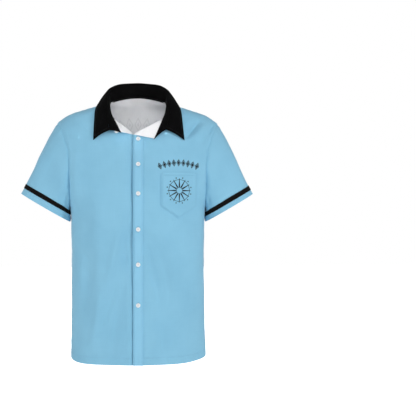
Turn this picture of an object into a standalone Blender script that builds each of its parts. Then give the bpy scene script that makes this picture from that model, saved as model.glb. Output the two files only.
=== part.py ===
"""Short-sleeved bowling shirt, filled out as if worn, with its collar open at the neck.

Every piece of cloth is a thin wall laid on one hollow general figure, which is given as a table of
level sections. A point of the body cloth is named by its angle round the figure, from 0 at the centre
front over 90 degrees at the wearer's left side seam to 180 at the centre back, and by its height.

Units are metres. +Z is up, +X is the wearer's left and -Y is the front. The origin is the middle of the
neck opening, level with the inner ends of the shoulder seams.
"""

import math

import bmesh
import bpy
from mathutils import Matrix, Vector

# ---------------------------------------------------------------- cloth and gaps
CLOTH = 0.0012  # wall of the body, sleeves, pocket and front band
COLLAR_CLOTH = 0.0018  # two layers and their interfacing
TAPE_CLOTH = 0.0010  # stripe round the sleeves
SEAM_GAP = 0.0003  # between pieces that are sewn together
SHOULDER_FRONT, SHOULDER_BACK = -0.0006, 0.0004  # edges of the outer faces along the shoulder and side seams
LAP_DEPTH = 0.0024  # how far the under lap sinks behind the over lap
LAP_START, LAP_FULL = -0.048, -0.022  # where it begins to sink and where it lies at its full depth

# ---------------------------------------------------------------- body
PLACKET_WIDTH = 0.027
HEM_FRONT = -0.7385
HEM_BACK = -0.7405
HEM_SIDE = -0.7215
HEM_FRONT_CURVE = 4.0  # the front hem stays level and turns up close to the side seam
HEM_BACK_CURVE = 2.5  # the back hem turns up in a longer curve
UNDERARM = -0.305
SHOULDER_POINT = -0.0638
BODY_ROWS = 16  # from the hem to the underarm
ARMHOLE_ROWS = 14  # from the underarm to the shoulder seam
CENTRE_FRONT_BREAK = -0.330  # where the row from the underarm meets the centre front
CENTRE_BACK_BREAK = -0.315
FRONT_COLUMNS = 14
BACK_COLUMNS = 13

# Level sections of the figure: height, half width, depth to the front, depth to the back, squareness.
FORM = (
    (-0.745, 0.1915, 0.1350, 0.1225, 2.5),
    (-0.600, 0.1900, 0.1290, 0.1165, 2.5),
    (-0.484, 0.1896, 0.1255, 0.1125, 2.5),
    (-0.380, 0.1905, 0.1280, 0.1175, 2.5),
    (-0.305, 0.1934, 0.1295, 0.1235, 2.5),
    (-0.250, 0.2150, 0.1258, 0.1262, 2.5),
    (-0.185, 0.2430, 0.1127, 0.1250, 2.45),
    (-0.120, 0.2560, 0.0915, 0.1190, 2.4),
    (-0.085, 0.2480, 0.0795, 0.1130, 2.3),
    (-0.064, 0.2330, 0.0725, 0.1075, 2.2),
    (-0.038, 0.2000, 0.0595, 0.1005, 2.1),
    (-0.020, 0.1490, 0.0500, 0.0955, 2.0),
    (-0.011, 0.1180, 0.0450, 0.0925, 2.0),
    (0.000, 0.0800, 0.0400, 0.0885, 2.0),
    (0.012, 0.0660, 0.0340, 0.0840, 2.0),
    (0.025, 0.0500, 0.0280, 0.0780, 2.0),
)

TURN_STEP, RISE_STEP = 0.0075, 0.0015  # distances over which the figure's slope is taken

# Armhole: how far round the figure it is cut into the front and the back, and how square it is.
ARMHOLE_FRONT = math.radians(38.0)
ARMHOLE_BACK = math.radians(33.0)
ARMHOLE_UPPER = 2.9
ARMHOLE_LOWER = 2.1

# Necklines from the open end of the roll line, and from the centre back, to the shoulder seam.
NECK_FRONT = ((0.0690, -0.0530), (0.0735, -0.0400), (0.0770, -0.0270), (0.0795, -0.0130), (0.0800, 0.0))
NECK_BACK = (
    (180, 0.0250), (163, 0.0240), (146, 0.0210), (130, 0.0155), (116, 0.0090), (102, 0.0035), (90, 0.0),
)
CENTRE_FRONT_ROWS = 6
ROLL_ROWS = 4
ROW_EASE = 1.4  # the rows above the underarm leave the centre level and then fall towards the armhole
PLACKET_TOP = -0.1045

# Soft folds: face, top x, top z, bottom x, bottom z, half width, height (below 0 for a trough).
FRONT, BACK = -1, 1
FOLDS = (
    (FRONT, -0.024, -0.120, -0.021, -0.300, 0.012, -0.0040),
    (FRONT, -0.030, -0.340, -0.024, -0.520, 0.014, -0.0050),
    (FRONT, -0.060, -0.330, -0.072, -0.560, 0.026, 0.0040),
    (FRONT, -0.112, -0.240, -0.106, -0.640, 0.022, 0.0060),
    (FRONT, -0.148, -0.260, -0.140, -0.740, 0.020, -0.0050),
    (FRONT, -0.172, -0.120, -0.178, -0.330, 0.014, 0.0050),
    (FRONT, 0.020, -0.370, 0.120, -0.640, 0.024, 0.0060),
    (FRONT, 0.050, -0.350, 0.160, -0.560, 0.024, -0.0050),
    (FRONT, 0.030, -0.540, 0.070, -0.740, 0.026, -0.0045),
    (FRONT, 0.130, -0.100, 0.178, -0.040, 0.013, -0.0040),
    (FRONT, 0.150, -0.130, 0.190, -0.070, 0.014, 0.0040),
    (FRONT, 0.172, -0.120, 0.178, -0.330, 0.014, 0.0045),
    (BACK, -0.130, -0.120, -0.118, -0.720, 0.026, -0.0060),
    (BACK, 0.126, -0.140, 0.122, -0.700, 0.026, -0.0060),
    (BACK, -0.070, -0.330, -0.060, -0.740, 0.030, 0.0050),
    (BACK, 0.075, -0.360, 0.055, -0.740, 0.028, 0.0050),
    (BACK, -0.100, -0.050, 0.100, -0.058, 0.016, -0.0035),
)
FOLD_END_EASE = 0.8  # below 1 a fold keeps its height longer before it dies out at its ends
FOLD_SEAM_FADE = 0.022  # folds die out this near a side or shoulder seam
FLUTE_TOP = -0.420  # the hem sways below this height
FLUTE_HEIGHT = 0.0035
FLUTE_EASE = 1.5
FLUTES = ((5.0, 0.6, 1.0), (9.0, 2.1, 0.55))  # waves round the body, phase, share

# ---------------------------------------------------------------- turned-out front corners
# Side (+1 wearer's left), foot of the roll line x, z, and the corner of the turned cloth x, y, z.
LAPELS = {
    1: ((-0.0135, -0.0985), Vector((0.0446, -0.0925, -0.1100))),
    -1: ((0.0145, -0.0965), Vector((0.0482, -0.1020, -0.0935))),
}
LAPEL_STEPS = (0.06, 0.18, 0.40, 0.70, 1.0)
LAPEL_RISE = Vector((0, -1, 0.25)).normalized()  # the cloth leaves the roll line towards the front
LAPEL_ROLL = 0.0126  # pull of the roll, which opens it to about 3 mm
LAPEL_BACK = 0.0063  # pull away from the corner
LAPEL_FULL = 0.5  # share up the roll line from which the roll is fully open
LAPEL_LANDING = 0.7  # how straight the cloth reaches its edge
UNDER_LAP_TOP = -0.1040  # the hidden end of the under lap

# ---------------------------------------------------------------- collar
# Sections from the centre back to the open end: joint of stand and leaf x, y, z, edge of the leaf x, y, z,
# radius of the roll.
COLLAR_BACK = (
    (0.0000, 0.0765, 0.0655, 0.0000, 0.0885, 0.0185, 0.0044),
    (0.0365, 0.0690, 0.0622, 0.0445, 0.0810, 0.0160, 0.0044),
    (0.0640, 0.0455, 0.0545, 0.0850, 0.0540, 0.0060, 0.0044),
    (0.0835, 0.0030, 0.0330, 0.1145, 0.0040, -0.0060, 0.0042),
    (0.0880, -0.0420, 0.0060, 0.1225, -0.0350, -0.0215, 0.0038),
)
COLLAR_FRONT = {
    1: (
        (0.0870, -0.0740, -0.0330, 0.1255, -0.0630, -0.0535, 0.0034),
        (0.0825, -0.0870, -0.0610, 0.1280, -0.0795, -0.0870, 0.0030),
        (0.0773, -0.0930, -0.0880, 0.1305, -0.0880, -0.1135, 0.0030),
    ),
    -1: (
        (0.0880, -0.0760, -0.0340, 0.1240, -0.0630, -0.0535, 0.0034),
        (0.0845, -0.0900, -0.0640, 0.1250, -0.0795, -0.0870, 0.0030),
        (0.0800, -0.0960, -0.0890, 0.1255, -0.0880, -0.1140, 0.0030),
    ),
}
STAND_EASE = 0.0005  # extra room at the foot and head of the stand, whose neighbours lean towards it
# Way from the blue face to the white one: where the neck meets the roll line, and at the turned corner.
ROLL_WHITE = Vector((0.75, 0.0, 0.65)).normalized()
CORNER_WHITE = Vector((0.35, -0.9, 0.35))
STAND_STEPS = 3
STAND_BOW = 0.0015
ROLL_STEPS = 4
LEAF_STEPS = 4
LEAF_BOW = 0.0025

# ---------------------------------------------------------------- sleeves
CUFF_OUTER = Vector((0.3350, 0.0, -0.2625))
CUFF_INNER = Vector((0.2005, 0.0, -0.3440))
CUFF_HALF_DEPTH = 0.0535
CUFF_SQUARENESS = 2.2
SLEEVE_SEAM = Vector((0.0004, 0.0, -0.0001))  # step from the armhole to the first ring of the sleeve
# Direction in which the sleeve leaves the armhole: share of the way round from the top, x, outward y, z.
SLEEVE_START = ((0.0, 0.54, 0.00, -0.84), (0.5, 0.82, 0.10, -0.56), (1.0, 0.70, 0.00, -0.70))
SLEEVE_RINGS = 6  # between the stripe and the armhole
BAND_LOW = 0.019  # stripe, measured up from the sleeve hem
BAND_HIGH = 0.031
CURVE_SAMPLES = 48

# ---------------------------------------------------------------- pocket and buttons
POCKET_LEFT, POCKET_RIGHT = 0.0630, 0.1640
POCKET_TOP, POCKET_CORNER, POCKET_TIP = -0.2060, -0.2990, -0.3343
POCKET_COLUMNS, POCKET_ROWS = 10, 8
POCKET_GAP = 0.0006
BUTTON_HEIGHTS = (-0.1108, -0.1827, -0.2645, -0.3636, -0.4612, -0.5734)
# Half section of a button from the middle of its face over the rim to the middle of its back: radius, height.
BUTTON_PROFILE = (
    (0.0, 0.0017),
    (0.0042, 0.0017),
    (0.0050, 0.0023),
    (0.0058, 0.0022),
    (0.0060, 0.0010),
    (0.0050, 0.0),
    (0.0, 0.0),
)
BUTTON_STEPS = 20
BUTTON_GAP = 0.0004
STAND_BUTTON_GAP = 0.0010  # the stand's end is slightly twisted
STAND_BUTTON_RISE = 0.33  # share of the stand's height at which its button sits
STAND_BUTTON_INSET = 0.0035  # from the open end of the stand, less than the button's radius

# ---------------------------------------------------------------- finishes and names
# Colour, roughness and metallic.
FINISHES = {
    "light_blue_polyester": ((0.239, 0.527, 0.716, 1.0), 0.78, 0.0),
    "black_polyester": ((0.006, 0.006, 0.007, 1.0), 0.80, 0.0),
    "white_button_resin": ((0.86, 0.86, 0.84, 1.0), 0.32, 0.0),
}
COLLECTION = "bowling_shirt"
MERGE = 0.00003  # points closer than this are one


# ================================================================ small tools
def mix(start, end, share):
    """Value a share of the way from start to end."""
    return start + (end - start) * share


def clamp(value, low=0.0, high=1.0):
    """Value held between two limits."""
    return max(low, min(high, value))


def hermite(start, end, start_pull, end_pull, share):
    """Point on the curve that leaves start along start_pull and reaches end along end_pull."""
    t2, t3 = share * share, share ** 3
    return (
        start * (2 * t3 - 3 * t2 + 1)
        + start_pull * (t3 - 2 * t2 + share)
        + end * (3 * t2 - 2 * t3)
        + end_pull * (t3 - t2)
    )


def read_table(table, at):
    """Row of a table at a value of its first column, on smooth curves that never overshoot the rows."""
    at = clamp(at, table[0][0], table[-1][0])
    k = 0
    while k < len(table) - 2 and at > table[k + 1][0]:
        k += 1

    def slope(i, column):
        return (table[i + 1][column] - table[i][column]) / (table[i + 1][0] - table[i][0])

    def tangent(i, column):
        if i == 0 or i == len(table) - 1:
            return slope(min(i, len(table) - 2), column)
        before, after = slope(i - 1, column), slope(i, column)
        if before * after <= 0:
            return 0.0
        return 2 * before * after / (before + after)

    span = table[k + 1][0] - table[k][0]
    share = (at - table[k][0]) / span
    return [
        hermite(table[k][c], table[k + 1][c], tangent(k, c) * span, tangent(k + 1, c) * span, share)
        for c in range(1, len(table[0]))
    ]


def smooth_row(rows, at):
    """Row of a list of vectors at a fractional index, on a curve through all of them."""
    k = int(clamp(math.floor(at), 0, len(rows) - 2))
    before = rows[k - 1] if k > 0 else rows[k] * 2 - rows[k + 1]
    after = rows[k + 2] if k + 2 < len(rows) else rows[k + 1] * 2 - rows[k]
    return hermite(rows[k], rows[k + 1], (rows[k + 1] - before) / 2, (after - rows[k]) / 2, at - k)


# ================================================================ the figure
def form_point(angle, height):
    """Point of the figure at an angle round it and a height."""
    half_width, front, back, squareness = read_table(FORM, height)
    s, c = math.sin(angle), math.cos(angle)
    reach = (abs(s) ** squareness + abs(c) ** squareness) ** (-1.0 / squareness)
    depth = front if c > 0 else back
    return Vector((half_width * reach * s, -depth * reach * c, height))


def form_normal(angle, height):
    """Direction straight out of the figure."""
    across = form_point(angle + TURN_STEP, height) - form_point(angle - TURN_STEP, height)
    upward = form_point(angle, height + RISE_STEP) - form_point(angle, height - RISE_STEP)
    return across.cross(upward).normalized()


def angle_at(x, height):
    """Angle round the front of the figure at which it is x to the wearer's left."""
    half_width, _, _, squareness = read_table(FORM, height)
    across = clamp(abs(x) / half_width)
    forward = (1 - across ** squareness) ** (1 / squareness)
    return math.copysign(math.atan2(across, forward), x)


def fold_height(point, angle):
    """How far the soft folds lift the cloth at a point of the figure."""
    face = BACK if point.y > 0 else FRONT
    total = 0.0
    for fold_face, top_x, top_z, bottom_x, bottom_z, half_width, height in FOLDS:
        if fold_face != face:
            continue
        run = Vector((bottom_x - top_x, bottom_z - top_z))
        offset = Vector((point.x - top_x, point.z - top_z))
        along = offset.dot(run) / run.length_squared
        if not 0 < along < 1:
            continue
        aside = (offset - run * along).length
        total += height * math.sin(math.pi * along) ** FOLD_END_EASE * math.exp(-((aside / half_width) ** 2))
    sway = sum(share * math.sin(waves * angle + phase) for waves, phase, share in FLUTES)
    total += FLUTE_HEIGHT * sway * clamp((FLUTE_TOP - point.z) / (FLUTE_TOP - HEM_FRONT)) ** FLUTE_EASE
    return total * clamp(abs(point.y) / FOLD_SEAM_FADE)


def cloth_point(angle, height, lift=0.0):
    """Point of the outer face of the body cloth, or one that lies lift above it."""
    point = form_point(angle, height)
    return point + form_normal(angle, height) * (fold_height(point, angle) + lift)


# ================================================================ body outline
def hem_height(angle):
    """Height of the hem at an angle round the body."""
    turn = abs(math.degrees(angle))
    if turn <= 90:
        return mix(HEM_FRONT, HEM_SIDE, (turn / 90) ** HEM_FRONT_CURVE)
    return mix(HEM_BACK, HEM_SIDE, ((180 - turn) / 90) ** HEM_BACK_CURVE)


def armhole(row, face):
    """Angle and height of the armhole's edge at a row counted up from the underarm."""
    turn = math.pi * row / ARMHOLE_ROWS
    upper = turn > math.pi / 2
    power = 2.0 / (ARMHOLE_UPPER if upper else ARMHOLE_LOWER)
    depth = ARMHOLE_FRONT if face == FRONT else ARMHOLE_BACK
    middle = (UNDERARM + SHOULDER_POINT) / 2
    reach = (SHOULDER_POINT - UNDERARM) / 2
    height = middle - reach * math.copysign(abs(math.cos(turn)) ** power, math.cos(turn))
    angle = math.pi / 2 + face * depth * abs(math.sin(turn)) ** power
    return angle, height


def front_centre_path(side):
    """Angles and heights of a front's inner edge above the underarm row: centre front, roll line, neck."""
    (foot_x, foot_z), _ = LAPELS[side]
    edge = -PLACKET_WIDTH / 2
    end_z = foot_z if side > 0 else UNDER_LAP_TOP
    path = [(edge, mix(CENTRE_FRONT_BREAK, end_z, k / CENTRE_FRONT_ROWS)) for k in range(CENTRE_FRONT_ROWS)]
    path.append((foot_x, foot_z))
    top_x, top_z = NECK_FRONT[0]
    for k in range(1, ROLL_ROWS + 1):
        path.append((mix(foot_x, top_x, k / ROLL_ROWS), mix(foot_z, top_z, k / ROLL_ROWS)))
    path.extend(NECK_FRONT[1:])
    return [(angle_at(x, z), z) for x, z in path]


def back_centre_path():
    """Angles and heights of the back's inner edge above the underarm row: centre back, then neck."""
    rows = ARMHOLE_ROWS - len(NECK_BACK) + 1
    path = [(math.pi, mix(CENTRE_BACK_BREAK, NECK_BACK[0][1], k / rows)) for k in range(rows)]
    return path + [(math.radians(turn), height) for turn, height in NECK_BACK]


def half_panel(inner_path, face, shares, band_edges=()):
    """Rows of (angle, height) for half of the body, each from the centre to the side.

    Below the underarm the rows run between the hem and the underarm row. Band edges are places in x that
    the first columns keep all the way down, so that the front band lies on its own columns.
    """
    inner_break = inner_path[0][1]
    side = math.pi / 2
    rows = []
    for row in range(BODY_ROWS):
        up = row / BODY_ROWS
        inner_angle = inner_path[0][0]
        angles = [mix(inner_angle, side, share) for share in shares]
        line = []
        for column, angle in enumerate(angles):
            top = mix(inner_break, UNDERARM, shares[column])
            height = mix(hem_height(angle), top, up)
            if column < len(band_edges):
                angle = angle_at(band_edges[column], height)
                height = mix(hem_height(angle), top, up)
            line.append((angle, height))
        rows.append(line)
    for row, inner in enumerate(inner_path):
        outer = armhole(row, face)
        line = []
        for column, share in enumerate(shares):
            angle, height = mix(inner[0], outer[0], share), mix(inner[1], outer[1], share ** ROW_EASE)
            if column < len(band_edges) and inner[0] < 0:
                angle = angle_at(band_edges[column], height)
            line.append((angle, height))
        rows.append(line)
    return rows


def front_shares():
    """Places of a front's columns between the centre front edge and the side seam."""
    band = PLACKET_WIDTH / 2 / (FORM[4][1] * math.pi / 2)
    beyond = [mix(2 * band, 1.0, k / FRONT_COLUMNS) for k in range(1, FRONT_COLUMNS + 1)]
    return [0.0, band, 2 * band] + beyond


# ================================================================ making objects
def fresh_scene():
    """Empties the scene and adds the collection for the shirt."""
    for old in list(bpy.data.objects):
        bpy.data.objects.remove(old, do_unlink=True)
    collection = bpy.data.collections.new(COLLECTION)
    bpy.context.scene.collection.children.link(collection)
    return collection


def make_material(name):
    """Principled material from the table of finishes."""
    colour, roughness, metallic = FINISHES[name]
    material = bpy.data.materials.new(name)
    material.use_nodes = True
    shader = material.node_tree.nodes["Principled BSDF"]
    shader.inputs["Base Color"].default_value = colour
    shader.inputs["Roughness"].default_value = roughness
    shader.inputs["Metallic"].default_value = metallic
    material.diffuse_color = colour
    return material


def add_object(name, bm, material, collection):
    """Object made from a bmesh."""
    mesh = bpy.data.meshes.new(name)
    bm.to_mesh(mesh)
    bm.free()
    mesh.shade_smooth()
    mesh.materials.append(material)
    item = bpy.data.objects.new(name, mesh)
    collection.objects.link(item)
    return item


def thicken(item, thickness):
    """Gives a sheet its wall, inward from its outer face."""
    wall = item.modifiers.new("cloth", "SOLIDIFY")
    wall.thickness = thickness
    wall.offset = -1.0


def cloth_wall(name, grid, material, collection, thickness, closed=False, flip=False):
    """Thin wall whose outer face is a grid of points, given row by row.

    A row may stop short at its start, where its points are None, as at a turned corner.
    """
    bm = bmesh.new()
    rows = [[None if point is None else bm.verts.new(point) for point in row] for row in grid]
    width = len(rows[0])
    for low, high in zip(rows, rows[1:]):
        for column in range(width if closed else width - 1):
            beside = (column + 1) % width
            ring = [low[column], low[beside], high[beside], high[column]]
            ring = [vert for vert in ring if vert is not None]
            if len(ring) > 2:
                bm.faces.new(ring[::-1] if flip else ring)
    bmesh.ops.remove_doubles(bm, verts=bm.verts, dist=MERGE)
    thicken(add_object(name, bm, material, collection), thickness)


def make_back(blue, collection):
    """Back, in one piece from side seam to side seam."""
    shares = [k / BACK_COLUMNS for k in range(BACK_COLUMNS + 1)]
    half = half_panel(back_centre_path(), BACK, shares)
    bm = bmesh.new()
    for side in (1, -1):
        rows = []
        for line in half:
            points = [cloth_point(side * angle, height) for angle, height in line]
            for point in points:
                point.y = max(point.y, SHOULDER_BACK)
            rows.append([bm.verts.new(point) for point in points])
        for low, high in zip(rows, rows[1:]):
            for a, b, c, d in zip(low, low[1:], high[1:], high):
                bm.faces.new((a, d, c, b) if side > 0 else (a, b, c, d))
    bmesh.ops.remove_doubles(bm, verts=bm.verts, dist=MERGE)
    thicken(add_object("back", bm, blue, collection), CLOTH)


def under_lap(x):
    """How far the wearer's right front sinks behind the left one at x."""
    return LAP_DEPTH * clamp((x - LAP_START) / (LAP_FULL - LAP_START))


def front_grid(side):
    """Points of a front's outer face, row by row from its inner edge, without its turned corner."""
    edges = [-PLACKET_WIDTH / 2, 0.0, PLACKET_WIDTH / 2]
    rows = half_panel(front_centre_path(side), FRONT, front_shares(), edges)
    grid = []
    for row in rows:
        line = []
        for angle, height in row:
            point = cloth_point(side * angle, height)
            if side < 0:
                point += form_normal(side * angle, height) * -under_lap(point.x)
            point.y = min(point.y, SHOULDER_FRONT)
            line.append(point)
        grid.append(line)
    return grid


def lapel_point(side, grid, share, step):
    """Point of the turned corner: share up the roll line, step across from it."""
    foot_row = BODY_ROWS + CENTRE_FRONT_ROWS
    row = foot_row + share * ROLL_ROWS
    start = grid[round(row)][0]
    foot = grid[foot_row][0]
    corner = LAPELS[side][1].copy()
    corner.x *= side
    end = foot.lerp(corner, share)
    backward = (start - end).normalized()
    pull = (LAPEL_RISE * LAPEL_ROLL + backward * LAPEL_BACK) * clamp(share / LAPEL_FULL)
    return hermite(start, end, pull, (end - start) * LAPEL_LANDING, step)


def make_fronts(blue, collection):
    """Both fronts with their turned corners. Returns their grids and the edges of the corners."""
    grids, corner_edges = {}, {}
    foot_row = BODY_ROWS + CENTRE_FRONT_ROWS
    for side, name in ((1, "left_front"), (-1, "right_front")):
        grid = front_grid(side)
        wide = []
        for row, line in enumerate(grid):
            extra = [None] * len(LAPEL_STEPS)
            if foot_row < row <= foot_row + ROLL_ROWS:
                share = (row - foot_row) / ROLL_ROWS
                extra = [lapel_point(side, grid, share, step) for step in reversed(LAPEL_STEPS)]
                if share == 1:
                    corner_edges[side] = extra[::-1]
            if row == foot_row:
                extra = [line[0].copy() for _ in LAPEL_STEPS]
            wide.append(extra + line)
        cloth_wall(name, wide, blue, collection, CLOTH, flip=side < 0)
        grids[side] = grid
    return grids, corner_edges


# ================================================================ the front band, pocket and buttons
def make_placket(grid, blue, collection):
    """Band down the edge of the left front, from its hem to the foot of the roll line."""
    foot_row = BODY_ROWS + CENTRE_FRONT_ROWS
    last, foot = grid[foot_row - 1][:3], grid[foot_row][:3]
    share = (PLACKET_TOP - last[0].z) / (foot[0].z - last[0].z)
    rows = [line[:3] for line in grid[:foot_row]]
    rows.append([below.lerp(above, share) for below, above in zip(last, foot)])
    forward = Vector((0, -SEAM_GAP - CLOTH, 0))
    cloth_wall("placket", [[point + forward for point in row] for row in rows], blue, collection, CLOTH)


def make_pocket(blue, collection):
    """Patch pocket with a pointed foot."""
    rows = []
    for row in range(POCKET_ROWS + 1):
        line = []
        for column in range(POCKET_COLUMNS + 1):
            across = column / POCKET_COLUMNS
            bottom = mix(POCKET_CORNER, POCKET_TIP, 1 - abs(2 * across - 1))
            height = mix(bottom, POCKET_TOP, row / POCKET_ROWS)
            angle = angle_at(mix(POCKET_LEFT, POCKET_RIGHT, across), height)
            line.append(cloth_point(angle, height, POCKET_GAP + CLOTH))
        rows.append(line)
    cloth_wall("chest_pocket", rows, blue, collection, CLOTH)


def make_button(name, centre, axis, white, collection):
    """Turned button, its back at the centre and its face along the axis."""
    bm = bmesh.new()
    verts = [bm.verts.new((radius, 0, height)) for radius, height in BUTTON_PROFILE]
    for start, end in zip(verts, verts[1:]):
        bm.edges.new((start, end))
    button = add_object(name, bm, white, collection)
    turn = button.modifiers.new("turn", "SCREW")
    turn.steps = turn.render_steps = BUTTON_STEPS
    turn.use_merge_vertices = True
    turn.merge_threshold = MERGE
    button.matrix_world = Matrix.Translation(centre) @ axis.to_track_quat("Z", "Y").to_matrix().to_4x4()


def make_buttons(white, collection):
    """Six buttons down the band."""
    for number, height in enumerate(BUTTON_HEIGHTS, 1):
        axis = form_normal(0, height)
        centre = cloth_point(0, height) + Vector((0, -(SEAM_GAP + CLOTH), 0)) + axis * BUTTON_GAP
        make_button(f"button_{number}", centre, axis, white, collection)


# ================================================================ the collar
def collar_seam(side, grids, corner_edges):
    """Edge where the stand is sewn on, from the centre back to the turned corner.

    Each row is a station, a point on the cloth's blue face and the one through the wall on its white face.
    """
    seam = []
    for k, (turn, height) in enumerate(NECK_BACK):
        angle = side * math.radians(turn)
        point = cloth_point(angle, height)
        seam.append((3 * k / (len(NECK_BACK) - 1), point, point - form_normal(angle, height) * CLOTH))
    neck_rows = grids[side][-len(NECK_FRONT):-1][::-1]
    for k, line in enumerate(neck_rows, 1):
        point = line[0]
        inward = -form_normal(side * angle_at(abs(point.x), point.z), point.z)
        if k == len(neck_rows):
            inward = Vector((-side * ROLL_WHITE.x, ROLL_WHITE.y, ROLL_WHITE.z))
        seam.append((3 + 2 * k / len(neck_rows), point, point + inward * CLOTH))
    for step, point in zip(LAPEL_STEPS, corner_edges[side]):
        outward = Vector((-side * CORNER_WHITE.x * (1 - step), CORNER_WHITE.y, CORNER_WHITE.z)).normalized()
        seam.append((5 + 2 * step, point, point + outward * CLOTH))
    return seam


def collar_section(side, station):
    """Joint of stand and leaf, edge of the leaf and radius of the roll at a station."""
    rows = COLLAR_BACK + COLLAR_FRONT[side]
    joints = [Vector((side * row[0], row[1], row[2])) for row in rows]
    edges = [Vector((side * row[3], row[4], row[5])) for row in rows]
    radii = [row[6] for row in rows]
    k = int(clamp(math.floor(station), 0, len(rows) - 2))
    radius = mix(radii[k], radii[k + 1], station - k)
    return smooth_row(joints, station), smooth_row(edges, station), radius


def leaf_line(up, joint, edge, radius):
    """Points of the leaf's face: round the roll from the joint, where it runs up, then down to the edge."""
    chord = edge - joint
    over = (chord - up * chord.dot(up)).normalized()
    centre = joint + over * radius
    reach = edge - centre
    distance = math.hypot(reach.dot(over), reach.dot(up))
    turn = math.atan2(reach.dot(over), reach.dot(up)) + math.asin(clamp(radius / distance))
    line = []
    for k in range(ROLL_STEPS + 1):
        angle = turn * k / ROLL_STEPS
        line.append(centre + (up * math.sin(angle) - over * math.cos(angle)) * radius)
    start = line[-1]
    swell = (up * math.sin(turn) - over * math.cos(turn)) * LEAF_BOW
    for k in range(1, LEAF_STEPS + 1):
        share = k / LEAF_STEPS
        line.append(start.lerp(edge, share) + swell * math.sin(math.pi * share))
    return line


def make_collar(grids, corner_edges, black, collection):
    """Stand and leaf, each in one piece from the right open end round the back to the left one.

    Returns the stand's lines, each from its foot to its head.
    """
    stand_lines, leaf_lines = [], []
    for side in (-1, 1):
        stations = collar_seam(side, grids, corner_edges)
        stand_half, leaf_half = [], []
        for k, (station, blue_face, white_face) in enumerate(stations):
            joint, edge, radius = collar_section(side, station)
            up = (joint - white_face).normalized()
            along = stations[min(k + 1, len(stations) - 1)][1] - stations[max(k - 1, 0)][1]
            rise = (up - along * up.dot(along) / along.length_squared).normalized()
            lift = SEAM_GAP + STAND_EASE + max(0.0, (blue_face - white_face).dot(rise))
            foot = white_face + up * lift / up.dot(rise)
            over = (edge - joint) - up * (edge - joint).dot(up)
            bow = over.normalized() * -STAND_BOW
            leaf = leaf_line(up, joint, edge, radius)
            tilt = (leaf[1] - leaf[0]).angle(up)
            head = joint - up * (SEAM_GAP + STAND_EASE + COLLAR_CLOTH * math.sin(tilt))
            line = []
            for k in range(STAND_STEPS + 1):
                share = k / STAND_STEPS
                line.append(foot.lerp(head, share) + bow * math.sin(math.pi * share))
            stand_half.append(line)
            leaf_half.append(leaf)
        if side < 0:
            stand_lines, leaf_lines = stand_half[:0:-1], leaf_half[:0:-1]
        else:
            stand_lines, leaf_lines = stand_lines + stand_half, leaf_lines + leaf_half
    for name, lines in (("collar_stand", stand_lines), ("collar_leaf", leaf_lines)):
        rows = [list(row) for row in zip(*lines)]
        cloth_wall(name, rows, black, collection, COLLAR_CLOTH)
    return stand_lines


def make_stand_button(stand_lines, white, collection):
    """Button on the outer face of the stand, at the open end on the wearer's right."""
    end, inner = stand_lines[0], stand_lines[1]
    seat_row = STAND_BUTTON_RISE * STAND_STEPS
    start = smooth_row(end, seat_row)
    along = (smooth_row(inner, seat_row) - start).normalized()
    outward = (end[-1] - end[0]).cross(along).normalized()
    seat = start + along * STAND_BUTTON_INSET + outward * (COLLAR_CLOTH + STAND_BUTTON_GAP)
    make_button("button_stand", seat, outward, white, collection)


# ================================================================ the sleeves
def sleeve_ends(side):
    """Armhole and cuff points of each line down the sleeve, from the shoulder round by the front."""
    turns = [(k / ARMHOLE_ROWS, FRONT) for k in range(ARMHOLE_ROWS)]
    turns += [(1 - k / ARMHOLE_ROWS, BACK) for k in range(ARMHOLE_ROWS)]
    centre = (CUFF_OUTER + CUFF_INNER) / 2
    half = (CUFF_OUTER - CUFF_INNER) / 2
    ends = []
    for share, face in turns:
        angle, height = armhole(round((1 - share) * ARMHOLE_ROWS), face)
        start = cloth_point(angle * side, height)
        start += Vector((SLEEVE_SEAM.x * side, 0, SLEEVE_SEAM.z))
        down, out = math.cos(math.pi * share), math.sin(math.pi * share)
        reach = (abs(down) ** CUFF_SQUARENESS + abs(out) ** CUFF_SQUARENESS) ** (-1 / CUFF_SQUARENESS)
        end = centre + half * (down * reach) + Vector((0, face * CUFF_HALF_DEPTH * out * reach, 0))
        end.x *= side
        pull_x, pull_y, pull_z = read_table(SLEEVE_START, share)
        ends.append((start, end, Vector((pull_x * side, pull_y * face, pull_z)).normalized()))
    return ends


def sleeve_grid(side):
    """Rings of the sleeve from the armhole to the hem, at even distances from the hem below the stripe."""
    cuff = CUFF_OUTER - CUFF_INNER
    axis = Vector((cuff.z * side, 0, -cuff.x)).normalized()
    lines = []
    for start, end, pull in sleeve_ends(side):
        length = (end - start).length
        path = []
        for k in range(CURVE_SAMPLES, -1, -1):
            path.append(hermite(start, end, pull * length, axis * length, k / CURVE_SAMPLES))
        travel = [0.0]
        for before, after in zip(path, path[1:]):
            travel.append(travel[-1] + (after - before).length)
        marks = [mix(BAND_HIGH, travel[-1], k / SLEEVE_RINGS) for k in range(SLEEVE_RINGS, -1, -1)]
        marks += [BAND_LOW, BAND_LOW / 2, 0.0]
        line = []
        for mark in marks:
            k = max(j for j in range(CURVE_SAMPLES) if travel[j] <= mark)
            share = clamp((mark - travel[k]) / (travel[k + 1] - travel[k]))
            line.append(path[k].lerp(path[k + 1], share))
        lines.append(line)
    return [list(row) for row in zip(*lines)]


def ring_normals(rows, row, side):
    """Directions straight out of a sleeve at the points of one ring."""
    ring = rows[row]
    normals = []
    for k in range(len(ring)):
        round_about = ring[(k + 1) % len(ring)] - ring[k - 1]
        down = rows[row + 1][k] - rows[row - 1][k]
        normals.append(round_about.cross(down).normalized() * side)
    return normals


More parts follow.
